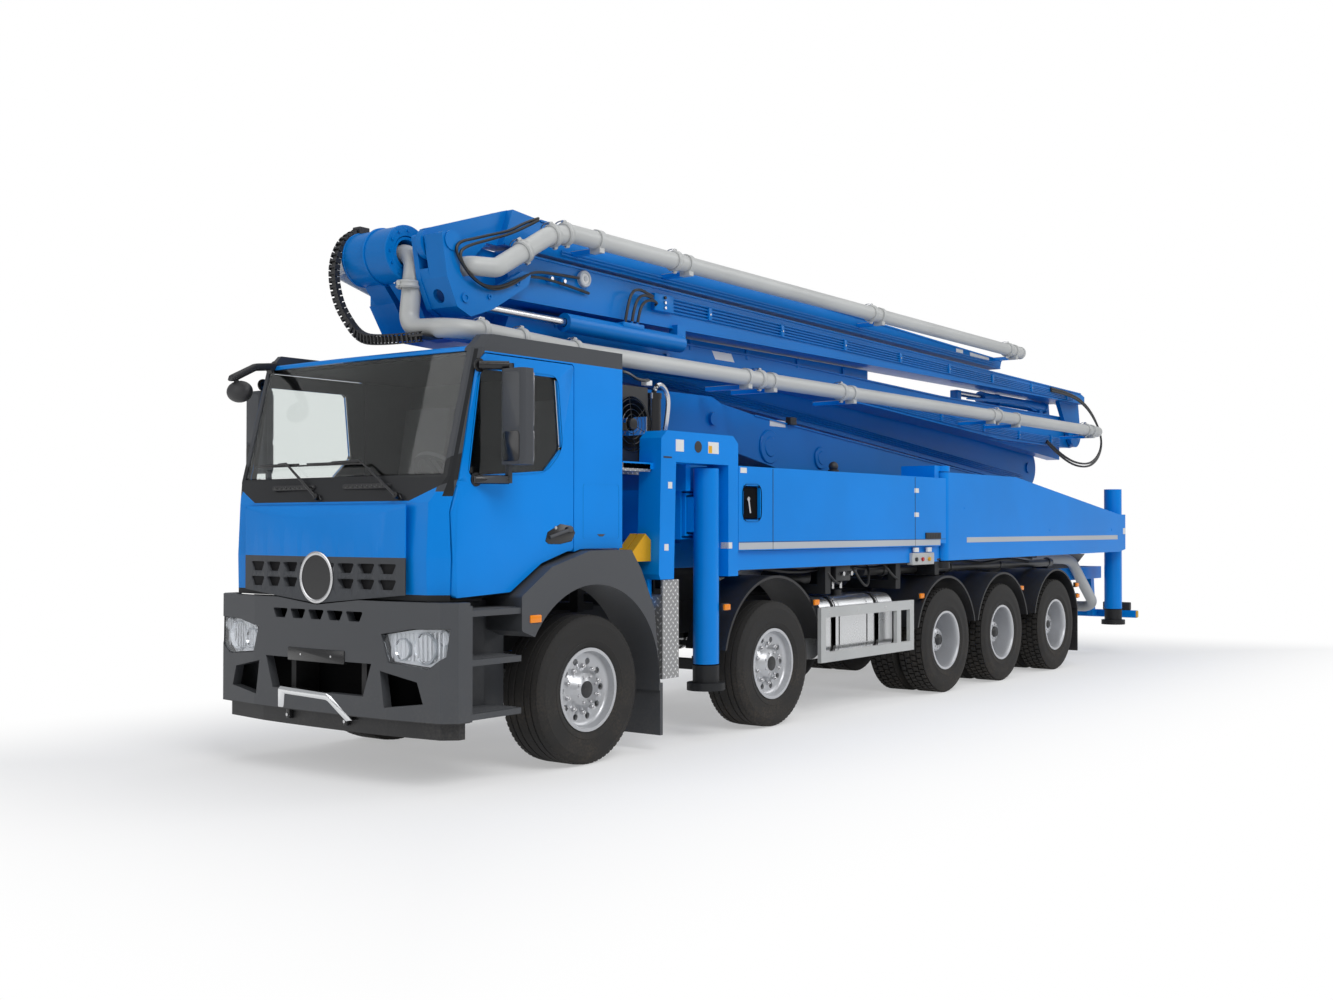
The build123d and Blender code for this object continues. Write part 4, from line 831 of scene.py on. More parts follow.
class PUMPTRUCK_OT_cab_front(bpy.types.Operator):
    """Wipers, vents, kerb mirror, flap with its badge, plate, towing bar and a near-black pan of painted shade behind
    the bumper
    """
    bl_idname = "pump_truck.cab_front"
    bl_label = "Cab front"

    def execute(self, context):
        self.wipers()
        self.kerb_mirror()
        self.plate_and_tow_bar()
        self.flap_and_badge()
        return {"FINISHED"}

    def wipers(self):
        """Wipers, and the vents under the windscreen."""
        bm = bmesh.new()
        for start, end, pivot_y, grip_y in WIPERS:
            add_box(bm, (6.146, start, 2.126), (6.166, end, 2.138), bevel=0.003)
            add_box(bm, (6.156, start + 0.05, 2.136), (6.174, end - 0.05, 2.148), bevel=0.003)
            middle = (start + end) / 2
            add_rod(bm, (6.168, middle, 2.146), (6.180, grip_y, 2.150), 0.008, sides=12)
            add_rod(bm, (6.234, pivot_y, 1.908), (6.180, grip_y, 2.150), 0.012, sides=12, radius_end=0.008)
            add_rod(bm, (6.190, pivot_y, 1.900), (6.242, pivot_y, 1.912), 0.022, sides=24)
            add_tube(bm, [(6.222, pivot_y + 0.02, 1.925), (6.24, pivot_y + 0.05, 1.90), (6.225, pivot_y + 0.06, 1.88),
                          (6.20, pivot_y + 0.05, 1.875)], 0.004, sides=8, resolution=4)
        put_piece("wipers", bm, "truck", "gloss_black")
        vents = bmesh.new()
        for y in (-0.395, 0.375):
            add_plate(vents, rounded(y - 0.235, y + 0.235, 1.957, 1.992, 0.017), 6.150, 6.2005, axis="X", bevel=0.004)
            for k in range(9):
                low_y = y - 0.205 + k * 0.050
                add_box(vents, (6.150, low_y, 1.966), (6.2025, low_y + 0.030, 1.983), bevel=0.001, index=1)
        put_piece("windscreen_vents", vents, "truck", ["black_plastic", "gloss_black"])

    def kerb_mirror(self):
        """The round mirror on its arm over the right front corner."""
        bm = bmesh.new()
        add_plate(bm, KERB_ARM, -1.035, -0.975, bevel=0.012)
        add_rod(bm, (6.245, -1.005, 2.79), (6.235, -0.985, 2.70), 0.018, sides=16)
        add_ball(bm, (6.222, -0.985, 2.685), (0.070, 0.125, 0.080), 32, 16)
        add_rod(bm, (5.90, -1.005, 2.915), (5.96, -1.005, 2.86), 0.030, sides=20)
        put_piece("kerb_mirror", bm, "truck", "black_plastic", smooth=40)

    def plate_and_tow_bar(self):
        """Blank plate, towing bar and its feet, and near-black panels that close the bumper's openings, as painted
        shade inside them.
        """
        bm = bmesh.new()
        add_plate(bm, rounded(-0.300, 0.300, 0.782, 0.872, 0.008), 6.283, 6.3085, axis="X", index=1, bevel=0.002)
        for y in (-0.16, 0.16):
            add_rod(bm, (6.300, y, 0.827), (6.3096, y, 0.827), 0.008, index=2, sides=6)
        add_plate(bm, TOW_BAR, 6.235, 6.3095, axis="X", bevel=0.010)
        for y in (-0.32, 0.29):
            add_box(bm, (6.210, y - 0.018, 0.372), (6.292, y + 0.018, 0.470), bevel=0.006, index=1)
            add_rod(bm, (6.285, y, 0.40), (6.300, y, 0.40), 0.012, index=2, sides=6)
        # near-black sheet and floors behind the bumper's openings: painted shade
        add_box(bm, (5.985, -1.120, 0.460), (5.998, 1.120, 1.200), index=3)
        for k in range(-4, 5):
            y = 0.245 * k
            add_box(bm, (5.990, y - 0.1225, 0.462), (bumper_x(abs(y) + 0.1225) - 0.055, y + 0.1225, 0.470), index=3)
        put_piece("plate_and_tow_bar", bm, "truck",
                  ["lamp_silver", "gloss_black", "bright_steel", "painted_shade_black"])

    def flap_and_badge(self):
        """The flap's skin, with its raised trim set back, and a blank badge."""
        skin = node_copy("front_flap")
        raised = [vert for vert in skin.verts if vert.co.x > FLAP_TRIM_X]
        bmesh.ops.translate(skin, vec=(-FLAP_SET_BACK, 0, 0), verts=raised)
        put_skin("front_flap", skin, "flap_paint")
        badge = bmesh.new()
        add_rod(badge, (6.252, 0, BADGE_Z), (6.302, 0, BADGE_Z), 0.160, sides=56)
        add_spin(badge, BADGE_RIM, (0, 0, BADGE_Z), ALONG_X, steps=56, index=1)
        put_piece("blank_badge", badge, "front_flap", ["gloss_black", "bright_steel"])


class PUMPTRUCK_OT_headlights(bpy.types.Operator):
    """Clear lamps with bowls, bulbs and ribbed reflectors"""
    bl_idname = "pump_truck.headlights"
    bl_label = "Headlights"

    def execute(self, context):
        inside = bmesh.new()
        outline = [(y + (LAMP_MIDDLE[0] - y) * 0.03, z + (LAMP_MIDDLE[1] - z) * 0.05) for y, z in LAMP_OUTLINE]
        # the back and its ribs take the pale finish, a painted reflection
        add_plate(inside, outline, -0.062, -0.052, axis="X", index=3)
        for k in range(14):
            y = 0.70 + k * 0.036
            add_rod(inside, (-0.052, y, 0.825 + k * 0.001), (-0.052, y, 1.000 + k * 0.002), 0.007, index=3, sides=10)
        for vert in inside.verts:
            vert.co.x += bumper_x(vert.co.y)
        for y, z, radius in LAMP_BOWLS:
            front = bumper_x(y + radius * 0.9) - 0.026
            profile = [(0.0, front - 0.070), (radius * 0.45, front - 0.064), (radius * 0.78, front - 0.040),
                       (radius * 0.93, front - 0.006), (radius, front), (radius, front - 0.020)]
            add_spin(inside, profile, (0, y, z), ALONG_X, steps=40)
            add_ball(inside, (front - 0.045, y, z), [radius * 0.26] * 3, 20, 12, index=1)
            add_spin(inside, [(radius * 0.97, front - 0.004), (radius * 1.07, front - 0.004),
                              (radius * 1.07, front - 0.030)], (0, y, z), ALONG_X, steps=40, index=2)
        mirror_y(inside)
        put_piece("headlight_reflectors", inside, "truck",
                  ["lamp_silver", "white_film", "pale_film", "lamp_back_painted_reflection"])
        cover = node_copy("headlights")
        behind = [face for face in cover.faces if face.normal.x < 0.5]
        bmesh.ops.delete(cover, geom=behind, context="FACES")
        bmesh.ops.solidify(cover, geom=cover.faces[:], thickness=0.004)
        bmesh.ops.recalc_face_normals(cover, faces=cover.faces)
        piece = put_piece("headlight_covers", cover, "truck", "lamp_glass", smooth=0)
        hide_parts("headlights")
        return {"FINISHED"}


class PUMPTRUCK_OT_cab_sides(bpy.types.Operator):
    """Door skins, window seals, handles, mirror details, steps and side lamps"""
    bl_idname = "pump_truck.cab_sides"
    bl_label = "Cab sides"

    def execute(self, context):
        for name, side in SIDES:
            skin = node_copy(f"{name}_door")
            mirrors = [vert for vert in skin.verts if abs(vert.co.y) > 1.2]
            bmesh.ops.translate(skin, vec=(-MIRROR_SHIFT, 0, 0), verts=mirrors)
            put_skin(f"{name}_door", skin, "door_paint")
            bm = bmesh.new()
            add_ring(bm, soft_corners(DOOR_WINDOW_OUTLINE, 0.085), 0.042, 1.128, 1.1535, bevel=0.003)
            add_plate(bm, DOOR_HANDLE, 1.146, 1.1540, bevel=0.003)
            add_rod(bm, (5.235, 1.156, 1.628), (5.030, 1.160, 1.682), 0.013, index=1, sides=16)
            add_box(bm, (5.005, 1.150, 1.664), (5.060, 1.172, 1.704), bevel=0.008, index=1)
            add_rod(bm, (5.17, 1.152, 1.695), (5.17, 1.1565, 1.695), 0.012, index=2, sides=20)
            back = 5.985 - MIRROR_SHIFT
            for foot, top in (((5.903, 1.150, 2.768), 2.768), ((5.930, 1.150, 2.013), 2.013)):
                add_rod(bm, foot, (back - 0.075, 1.285, top), 0.030, sides=16)
                add_rod(bm, (foot[0], 1.148, foot[2]), (foot[0], 1.158, foot[2]), 0.046, sides=24)
            add_plate(bm, rounded(1.300, 1.452, 2.130, 2.330, 0.03), back - 0.005, back + 0.0035, axis="X",
                      bevel=0.003)
            add_plate(bm, rounded(1.300, 1.452, 2.345, 2.715, 0.03), back - 0.005, back + 0.0020, axis="X", index=1,
                      bevel=0.003)
            for low_z, high_z in ((2.360, 2.725), (2.125, 2.340)):
                add_plate(bm, rounded(1.292, 1.460, low_z, high_z, 0.02), back - 0.129, back - 0.126, axis="X",
                          index=2)
            to_side(bm, side)
            put_piece(f"{name}_door_trim", bm, f"{name}_door",
                      ["gloss_black", "trim_plastic", "bright_steel"])
        bm = bmesh.new()
        add_ring(bm, rounded(4.490, 4.882, 1.615, 2.010, 0.02), 0.006, 1.146, 1.1512)
        add_plate(bm, [(4.73, 1.648), (4.645, 1.648), (4.67, 1.632), (4.705, 1.632)], 1.148, 1.1535, index=1)
        for tread_z in (0.490, 0.840, 1.160):
            for k in range(8):
                y = 0.955 + k * 0.033
                add_box(bm, (5.605, y, tread_z - 0.004), (6.035, y + 0.014, tread_z + 0.006), bevel=0.002, index=1)
        add_box(bm, (5.422, 0.880, 0.440), (6.030, 0.900, 1.200), bevel=0.004, index=1)
        add_box(bm, (5.405, 1.205, 1.050), (5.515, 1.2485, 1.104), bevel=0.008, index=2)
        for z in (0.46, 0.30):
            add_rod(bm, (4.10, 1.195, z), (4.115, 1.195, z), 0.010, index=1, sides=6)
        mirror_y(bm)
        put_piece("cab_side_trim", bm, "truck", ["gloss_black", "trim_plastic", "orange_lens"])
        return {"FINISHED"}


# ------------------------------------------------------------------ body
MARKER_LAMPS = ((3.245, 1.053), (1.900, 1.032), (-0.060, 1.010), (-2.440, 1.004), (-4.070, 0.985), (-4.090, 0.850))
BODY_TRIM_FINISHES = ["pale_film", "black_plastic", "bright_steel", "white_film", "pipe_paint", "red_lens",
                      "yellow_paint", "orange_lens", "tread_plate", "painted_shade_black"]
BAND, PLASTIC, STEEL, WHITE, GREY, RED, YELLOW, ORANGE, TREAD, PAINTED_SHADE_SHEET = range(10)  # their places in that list


class PUMPTRUCK_OT_body_trim(bpy.types.Operator):
    """Bands, seams, hatch frames, lamps and blank plates along the sides"""
    bl_idname = "pump_truck.body_trim"
    bl_label = "Body trim"

    def execute(self, context):
        bm = bmesh.new()
        add_box(bm, (-0.475, 1.2215, 1.513), (3.066, 1.2236, 1.570), index=BAND)
        for x in (2.57, 0.06):
            add_box(bm, (x - 0.003, 1.2215, 1.508), (x + 0.003, 1.2242, 2.192), index=PLASTIC)
        add_box(bm, (-0.595, 1.2215, 1.573), (3.066, 1.2230, 1.577), index=PLASTIC)
        add_ring(bm, rounded(2.745, 3.015, 1.745, 2.055, 0.07), 0.028, 1.205, 1.2300, index=PLASTIC, bevel=0.004)
        # near-black sheet inside the hatch frame: painted shade in its recess
        add_box(bm, (2.770, 1.195, 1.770), (2.990, 1.200, 2.030), index=PAINTED_SHADE_SHEET)
        add_rod(bm, (2.93, 1.200, 1.93), (2.93, 1.226, 1.93), 0.020, index=STEEL, sides=16)
        add_rod(bm, (2.93, 1.222, 1.935), (2.91, 1.226, 1.815), 0.009, index=STEEL, sides=12)
        add_box(bm, (-0.470, 1.220, 1.578), (-0.150, 1.2360, 1.640), bevel=0.004, index=PLASTIC)
        for k in range(9):
            add_box(bm, (-0.455 + k * 0.034, 1.230, 1.586), (-0.439 + k * 0.034, 1.2380, 1.632), index=PLASTIC)
        for x, z in ((0.03, 2.06), (0.03, 1.82), (3.00, 2.166), (0.03, 1.470), (-0.24, 1.470)):
            low_y = 1.205 if z < 1.5 else 1.2215
            add_box(bm, (x - 0.045, low_y, z - 0.022), (x + 0.045, 1.224, z + 0.022), index=WHITE)
        add_box(bm, (-0.36, 1.150, 1.320), (0.10, 1.215, 1.440), bevel=0.008, index=GREY)
        for x, index in ((0.03, PLASTIC), (-0.10, RED), (-0.24, YELLOW)):
            add_rod(bm, (x, 1.212, 1.375), (x, 1.232, 1.375), 0.020, index=index, sides=20)
        add_ball(bm, (1.40, 1.10, 2.255), [0.045] * 3, 24, 14, index=PLASTIC)
        add_rod(bm, (1.40, 1.10, 2.198), (1.40, 1.10, 2.225), 0.052, index=PLASTIC, sides=24)
        for x, z in MARKER_LAMPS:
            add_box(bm, (x - 0.045, 1.196, z - 0.030), (x + 0.045, 1.222, z + 0.030), bevel=0.004, index=PLASTIC)
            add_box(bm, (x - 0.040, 1.220, z - 0.024), (x + 0.040, 1.2420, z + 0.024), bevel=0.006, index=ORANGE)
        add_box(bm, (3.805, 1.0, 2.284), (3.905, 1.2272, 2.376), index=WHITE)
        add_box(bm, (3.350, 1.0, 2.284), (3.490, 1.2272, 2.376), index=WHITE)
        add_box(bm, (3.440, 1.0, 2.288), (3.486, 1.2282, 2.345), index=YELLOW)
        add_rod(bm, (3.62, 1.15, 2.33), (3.62, 1.2275, 2.33), 0.046, index=PLASTIC, sides=32)
        for x, z in ((3.975, 2.02), (4.02, 1.545), (3.19, 1.55)):
            add_box(bm, (x - 0.025, 1.15, z - 0.025), (x + 0.025, 1.2270, z + 0.025), index=WHITE)
        add_box(bm, (3.955, 1.15, 2.228), (4.055, 1.2272, 2.240), index=PLASTIC)
        add_box(bm, (4.118, 0.950, 2.120), (4.445, 1.150, 2.182), bevel=0.004, index=TREAD)
        add_box(bm, (3.838, 0.758, 1.164), (4.042, 1.2065, 1.170), index=TREAD)
        for x in (0.66, 1.44):
            add_ring(bm, rounded(0.552, 1.148, 0.492, 1.068, 0.124), 0.009, x, x + 0.062, axis="X", index=PLASTIC)
            add_ring(bm, rounded(0.549, 1.151, 0.489, 1.071, 0.127), 0.004, x + 0.018, x + 0.044, axis="X",
                     index=STEEL)
        add_rod(bm, (1.12, 0.95, 1.055), (1.12, 0.95, 1.110), 0.055, index=PLASTIC, sides=32)
        for x in (0.86, 1.36):
            add_ring(bm, rounded(0.5575, 1.1425, 0.4975, 1.0625, 0.1215), 0.004, x, x + 0.012, axis="X", index=STEEL)
        for k in range(4):
            add_rod(bm, (0.205 + k * 0.50, 1.245, 0.935), (0.205 + k * 0.50, 1.2515, 0.935), 0.011, index=STEEL,
                    sides=6)
        mirror_y(bm)
        put_piece("body_trim", bm, "truck", BODY_TRIM_FINISHES)
        for name, side in SIDES:
            bm = bmesh.new()
            add_box(bm, (-5.50, 1.2095, 1.533), (-1.10, 1.2116, 1.588))
            add_rod(bm, (-0.42, 1.150, 2.11), (-0.80, 1.195, 2.11), 0.014, index=1, sides=12)
            add_box(bm, (-5.78, 1.2095, 1.60), (-5.70, 1.2116, 1.68), index=2)
            for x, z in ((-1.05, 1.90), (-3.3, 1.66), (-5.3, 1.66)):
                add_rod(bm, (x, 1.2095, z), (x, 1.2135, z), 0.016, index=1, sides=20)
            to_side(bm, side)
            put_piece(f"{name}_rear_outrigger_trim", bm, f"{name}_rear_outrigger",
                      ["pale_film", "body_paint", "white_film"])
        return {"FINISHED"}


class PUMPTRUCK_OT_under_body(bpy.types.Operator):
    """Hoses, air tanks, exhaust and valves under the side covers"""
    bl_idname = "pump_truck.under_body"
    bl_label = "Under body"

    def execute(self, context):
        bm = bmesh.new()
        for k, (radius, y, z) in enumerate(((0.017, 1.12, 1.42), (0.015, 1.07, 1.40), (0.019, 1.02, 1.36))):
            route = [(2.95 - 0.05 * k, y, z)]
            route += [(2.5 - 0.62 * n, y + 0.012 * (n % 3), z - (0.075 if n % 2 else 0.01)) for n in range(10)]
            add_tube(bm, route, radius, sides=10, resolution=5)
        for x, dz in ((1.55, 0.05), (1.05, 0.09), (0.45, 0.04)):
            add_tube(bm, [(x, 0.98, 1.42), (x + 0.05, 1.10, 1.36), (x - 0.08, 1.15, 1.25 - dz),
                          (x - 0.25, 1.12, 1.22 - dz), (x - 0.38, 1.05, 1.33), (x - 0.40, 0.95, 1.42)], 0.012,
                     sides=10)
        add_box(bm, (1.16, 0.98, 1.20), (1.42, 1.14, 1.36), bevel=0.012, index=1)
        for x in (1.22, 1.36):
            add_rod(bm, (x, 1.13, 1.27), (x, 1.19, 1.27), 0.020, index=2, sides=20)
            add_rod(bm, (x, 1.06, 1.19), (x, 1.06, 1.13), 0.018, index=2, sides=20)
        for x in (0.95, 1.65):
            add_rod(bm, (x - 0.26, 0.74, 1.23), (x + 0.26, 0.74, 1.23), 0.105, index=1, sides=40)
        add_rod(bm, (0.57, 0.90, 1.268), (-4.02, 0.90, 1.258), 0.046, index=3, sides=28)
        for x in (0.2, -0.95, -1.25, -2.5, -3.9):
            add_rod(bm, (x, 0.90, 1.265), (x - 0.05, 0.90, 1.265), 0.056, index=3, sides=28)
        mirror_y(bm)
        put_piece("under_body", bm, "truck",
                  ["hose_rubber", "black_paint", "bright_steel", "exhaust_paint"])
        return {"FINISHED"}


FAN_X, FAN_Z = 4.17, 2.486


def by_fan(radius, degrees):
    """A point on the fan guard."""
    turn = math.radians(degrees)
    return FAN_X + radius * math.cos(turn), 1.012, FAN_Z + radius * math.sin(turn)


class PUMPTRUCK_OT_cooler_trim(bpy.types.Operator):
    """Fan guard, filter and pipes behind the cab"""
    bl_idname = "pump_truck.cooler_trim"
    bl_label = "Cooler trim"

    def execute(self, context):
        bm = bmesh.new()
        for radius in (0.075, 0.115, 0.155, 0.195, 0.213):
            add_tube(bm, [by_fan(radius, turn) for turn in range(0, 361, 15)], 0.0028, sides=6, resolution=3)
        for turn in range(20, 380, 60):
            add_rod(bm, by_fan(0.05, turn), by_fan(0.215, turn), 0.003, sides=6)
        add_spin(bm, [(0.0, 1.030), (0.045, 1.026), (0.052, 1.012), (0.052, 0.99)], (FAN_X, 0, FAN_Z), ALONG_Y,
                 steps=32)
        for k in range(13):
            z = 2.235 + k * 0.044
            add_box(bm, (4.398, 0.645, z), (4.404, 0.975, z + 0.020))
        add_rod(bm, (3.88, 0.985, 2.24), (3.88, 0.985, 2.70), 0.058, sides=32)
        add_rod(bm, (3.88, 0.985, 2.70), (3.88, 0.985, 2.745), 0.064, sides=32)
        add_tube(bm, [(3.88, 0.985, 2.74), (3.88, 1.00, 2.80), (3.82, 1.02, 2.82), (3.74, 1.02, 2.74),
                      (3.72, 1.0, 2.60), (3.72, 0.97, 2.46)], 0.020, index=1, sides=14)
        add_tube(bm, [(4.36, 0.99, 2.76), (4.38, 1.02, 2.86), (4.28, 1.04, 2.88), (4.10, 1.02, 2.82),
                      (3.96, 1.0, 2.84)], 0.013, sides=10)
        add_box(bm, (3.92, 0.95, 2.80), (3.99, 1.005, 2.84), bevel=0.004, index=2)
        add_box(bm, (3.870, 0.900, 2.105), (4.330, 0.908, 2.205), bevel=0.002, index=3)
        put_piece("cooler_trim", bm, "truck",
                  ["gloss_black", "bright_steel", "white_film", "tread_plate"])
        return {"FINISHED"}


class PUMPTRUCK_OT_rear_trim(bpy.types.Operator):
    """Lamps and caps on the underrun bar, the grate over the hopper and its lip"""
    bl_idname = "pump_truck.rear_trim"
    bl_label = "Rear trim"

    def execute(self, context):
        bm = bmesh.new()
        add_box(bm, (-6.307, 1.165, 0.463), (-6.232, 1.2015, 0.557), bevel=0.012)
        add_box(bm, (-6.304, 0.72, 0.560), (-6.236, 1.10, 0.668), bevel=0.010, index=1)
        for y0, y1, index in ((0.735, 0.845, 2), (0.855, 0.965, 3), (0.975, 1.085, 2)):
            add_box(bm, (-6.3085, y0, 0.572), (-6.295, y1, 0.656), bevel=0.004, index=index)
        mirror_y(bm)
        add_plate(bm, rounded(-0.26, 0.26, 0.562, 0.672, 0.008), -6.300, -6.285, axis="X", index=4, bevel=0.002)
        put_piece("rear_lamps", bm, "truck",
                  ["yellow_paint", "black_plastic", "red_lens", "orange_lens", "white_film"])
        grate = bmesh.new()
        for k in range(16):
            y = -0.585 + k * 0.078
            add_rod(grate, (-5.83, y, 1.305), (-4.77, y, 1.305), 0.009, sides=8)
        for x in (-5.80, -5.55, -5.30, -5.05, -4.80):
            add_box(grate, (x - 0.006, -0.598, 1.288), (x + 0.006, 0.598, 1.316))
        put_piece("hopper_grate", grate, "truck", "body_paint")
        return {"FINISHED"}


# ------------------------------------------------------------------ boom
# More clamps on each pipe: x, y, z and the pipe's direction
CLAMPS = {"boom_c": ((5.864, 0.415, 3.374, (0, 0, 1)), (5.640, 0.900, 3.037, (1, 0, 0.04)),
                     (5.260, 0.900, 3.022, (1, 0, 0.04)), (4.700, 0.900, 3.000, (1, 0, 0)),
                     (2.310, 0.900, 2.992, (1, 0, 0)), (0.940, 0.900, 2.987, (1, 0, 0)),
                     (-2.520, 0.900, 2.976, (1, 0, 0)), (-5.180, 0.900, 2.967, (1, 0, 0))),
          "boom_e": ((5.225, 0.889, 3.655, (1, 0, -0.61)), (4.935, 0.900, 3.814, (1, 0, -0.3)),
                     (4.800, 0.900, 3.849, (1, 0, -0.2)), (3.510, 0.900, 3.848, (1, 0, 0.01)),
                     (0.370, 0.900, 3.811, (1, 0, 0.01)), (-2.790, 0.900, 3.774, (1, 0, 0.01))),
          "boom_b": ((5.0, -0.475, 3.358, (1, 0, 0.1)), (-4.55, -0.475, 2.660, (1, 0, 0.07)),
                     (0.74, -0.475, 3.046, (1, 0, 0.07)))}
CHAIN = [(5.800, -0.160, 3.835), (5.930, -0.160, 3.770), (6.010, -0.160, 3.650), (6.042, -0.160, 3.520),
         (6.030, -0.160, 3.390), (5.990, -0.155, 3.260), (5.930, -0.130, 3.150), (5.905, -0.070, 3.070),
         (5.915, 0.030, 3.025), (5.935, 0.160, 3.006), (5.955, 0.320, 2.994), (5.965, 0.480, 2.988),
         (5.960, 0.640, 2.988)]
LINK_PITCH = 0.042
LINK_PARTS = (((0.038, 0.008, 0.042), (0, -0.032, 0), 0), ((0.038, 0.008, 0.042), (0, 0.032, 0), 0),
              ((0.014, 0.068, 0.007), (0, 0, 0.0195), 0), ((0.014, 0.068, 0.007), (0, 0, -0.0195), 0),
              ((0.048, 0.040, 0.020), (0, 0, 0), 1))  # size, centre, finish
BC_PIN_X, BC_PIN_Z = 5.80, 3.61
BOOM_TRIM_FINISHES = ["shaded_boom_blue", "bright_steel", "white_film", "black_plastic", "pale_film"]
HEAD_HOSES = (
    ((4.979, 0.80, 3.945), (5.133, 0.81, 3.885), (5.284, 0.82, 3.800), (5.46, 0.82, 3.745), (5.62, 0.81, 3.690),
     (5.755, 0.81, 3.648), (5.800, 0.81, 3.590), (5.742, 0.82, 3.490), (5.632, 0.82, 3.400), (5.462, 0.82, 3.350),
     (5.286, 0.82, 3.405), (5.105, 0.80, 3.512), (4.950, 0.74, 3.565), (4.759, 0.70, 3.590), (4.42, 0.69, 3.600)),
    ((5.0, 0.82, 3.925), (5.25, 0.83, 3.790), (5.50, 0.83, 3.700), (5.74, 0.82, 3.610), (5.770, 0.82, 3.540),
     (5.700, 0.83, 3.440), (5.560, 0.83, 3.365), (5.380, 0.83, 3.385), (5.180, 0.81, 3.480), (4.980, 0.74, 3.530),
     (4.700, 0.70, 3.540), (4.30, 0.685, 3.50)),
)
REAR_HOSES = (
    ((-4.55, 0.69, 3.475), (-5.02, 0.74, 3.455), (-5.47, 0.78, 3.345), (-5.86, 0.78, 3.140), (-6.10, 0.78, 2.860),
     (-5.93, 0.78, 2.600), (-5.53, 0.76, 2.475), (-5.15, 0.62, 2.560), (-4.80, 0.52, 2.800)),
    ((-4.55, 0.69, 3.445), (-5.02, 0.75, 3.425), (-5.44, 0.80, 3.310), (-5.82, 0.80, 3.110), (-6.04, 0.80, 2.870),
     (-5.88, 0.80, 2.640), (-5.53, 0.78, 2.515), (-5.17, 0.62, 2.590), (-4.82, 0.52, 2.820)),
)


class PUMPTRUCK_OT_boom_pipes(bpy.types.Operator):
    """Pipe clamps with their lugs and levers"""
    bl_idname = "pump_truck.boom_pipes"
    bl_label = "Pipe clamps"

    def execute(self, context):
        for body, places in CLAMPS.items():
            bm = bmesh.new()
            for x, y, z, run in places:
                self.clamp(bm, Vector((x, y, z)), Vector(run).normalized())
            put_piece(f"{body}_pipe_clamps", bm, body, ["pipe_paint", "bright_steel"])
        return {"FINISHED"}

    def clamp(self, bm, centre, run):
        """A ribbed collar round a pipe that runs along run, with its two lugs and its lever."""
        add_spin(bm, [(0.066, -0.026), (0.078, -0.026), (0.086, -0.016), (0.080, -0.006), (0.080, 0.006),
                      (0.086, 0.016), (0.078, 0.026), (0.066, 0.026), (0.066, -0.026)], centre, run, steps=40)
        across = run.cross(Vector(ALONG_Y if abs(run.y) < 0.9 else ALONG_X)).normalized()
        for way in (-1, 1):
            lug = centre + across * way * 0.088
            add_rod(bm, lug - run * 0.016, lug + run * 0.016, 0.014, sides=12)
            add_rod(bm, lug - run * 0.022, lug + run * 0.022, 0.007, index=1, sides=10)
        lever = [centre + across * 0.096 + run * 0.01]
        for turn in (25, 55, 85, 110):
            angle = math.radians(turn)
            outward = across * math.cos(angle) + run.cross(across) * math.sin(angle)
            lever.append(centre + outward * 0.108 + run * 0.02)
        add_tube(bm, [tuple(p) for p in lever], 0.005, index=1, sides=8, resolution=4)


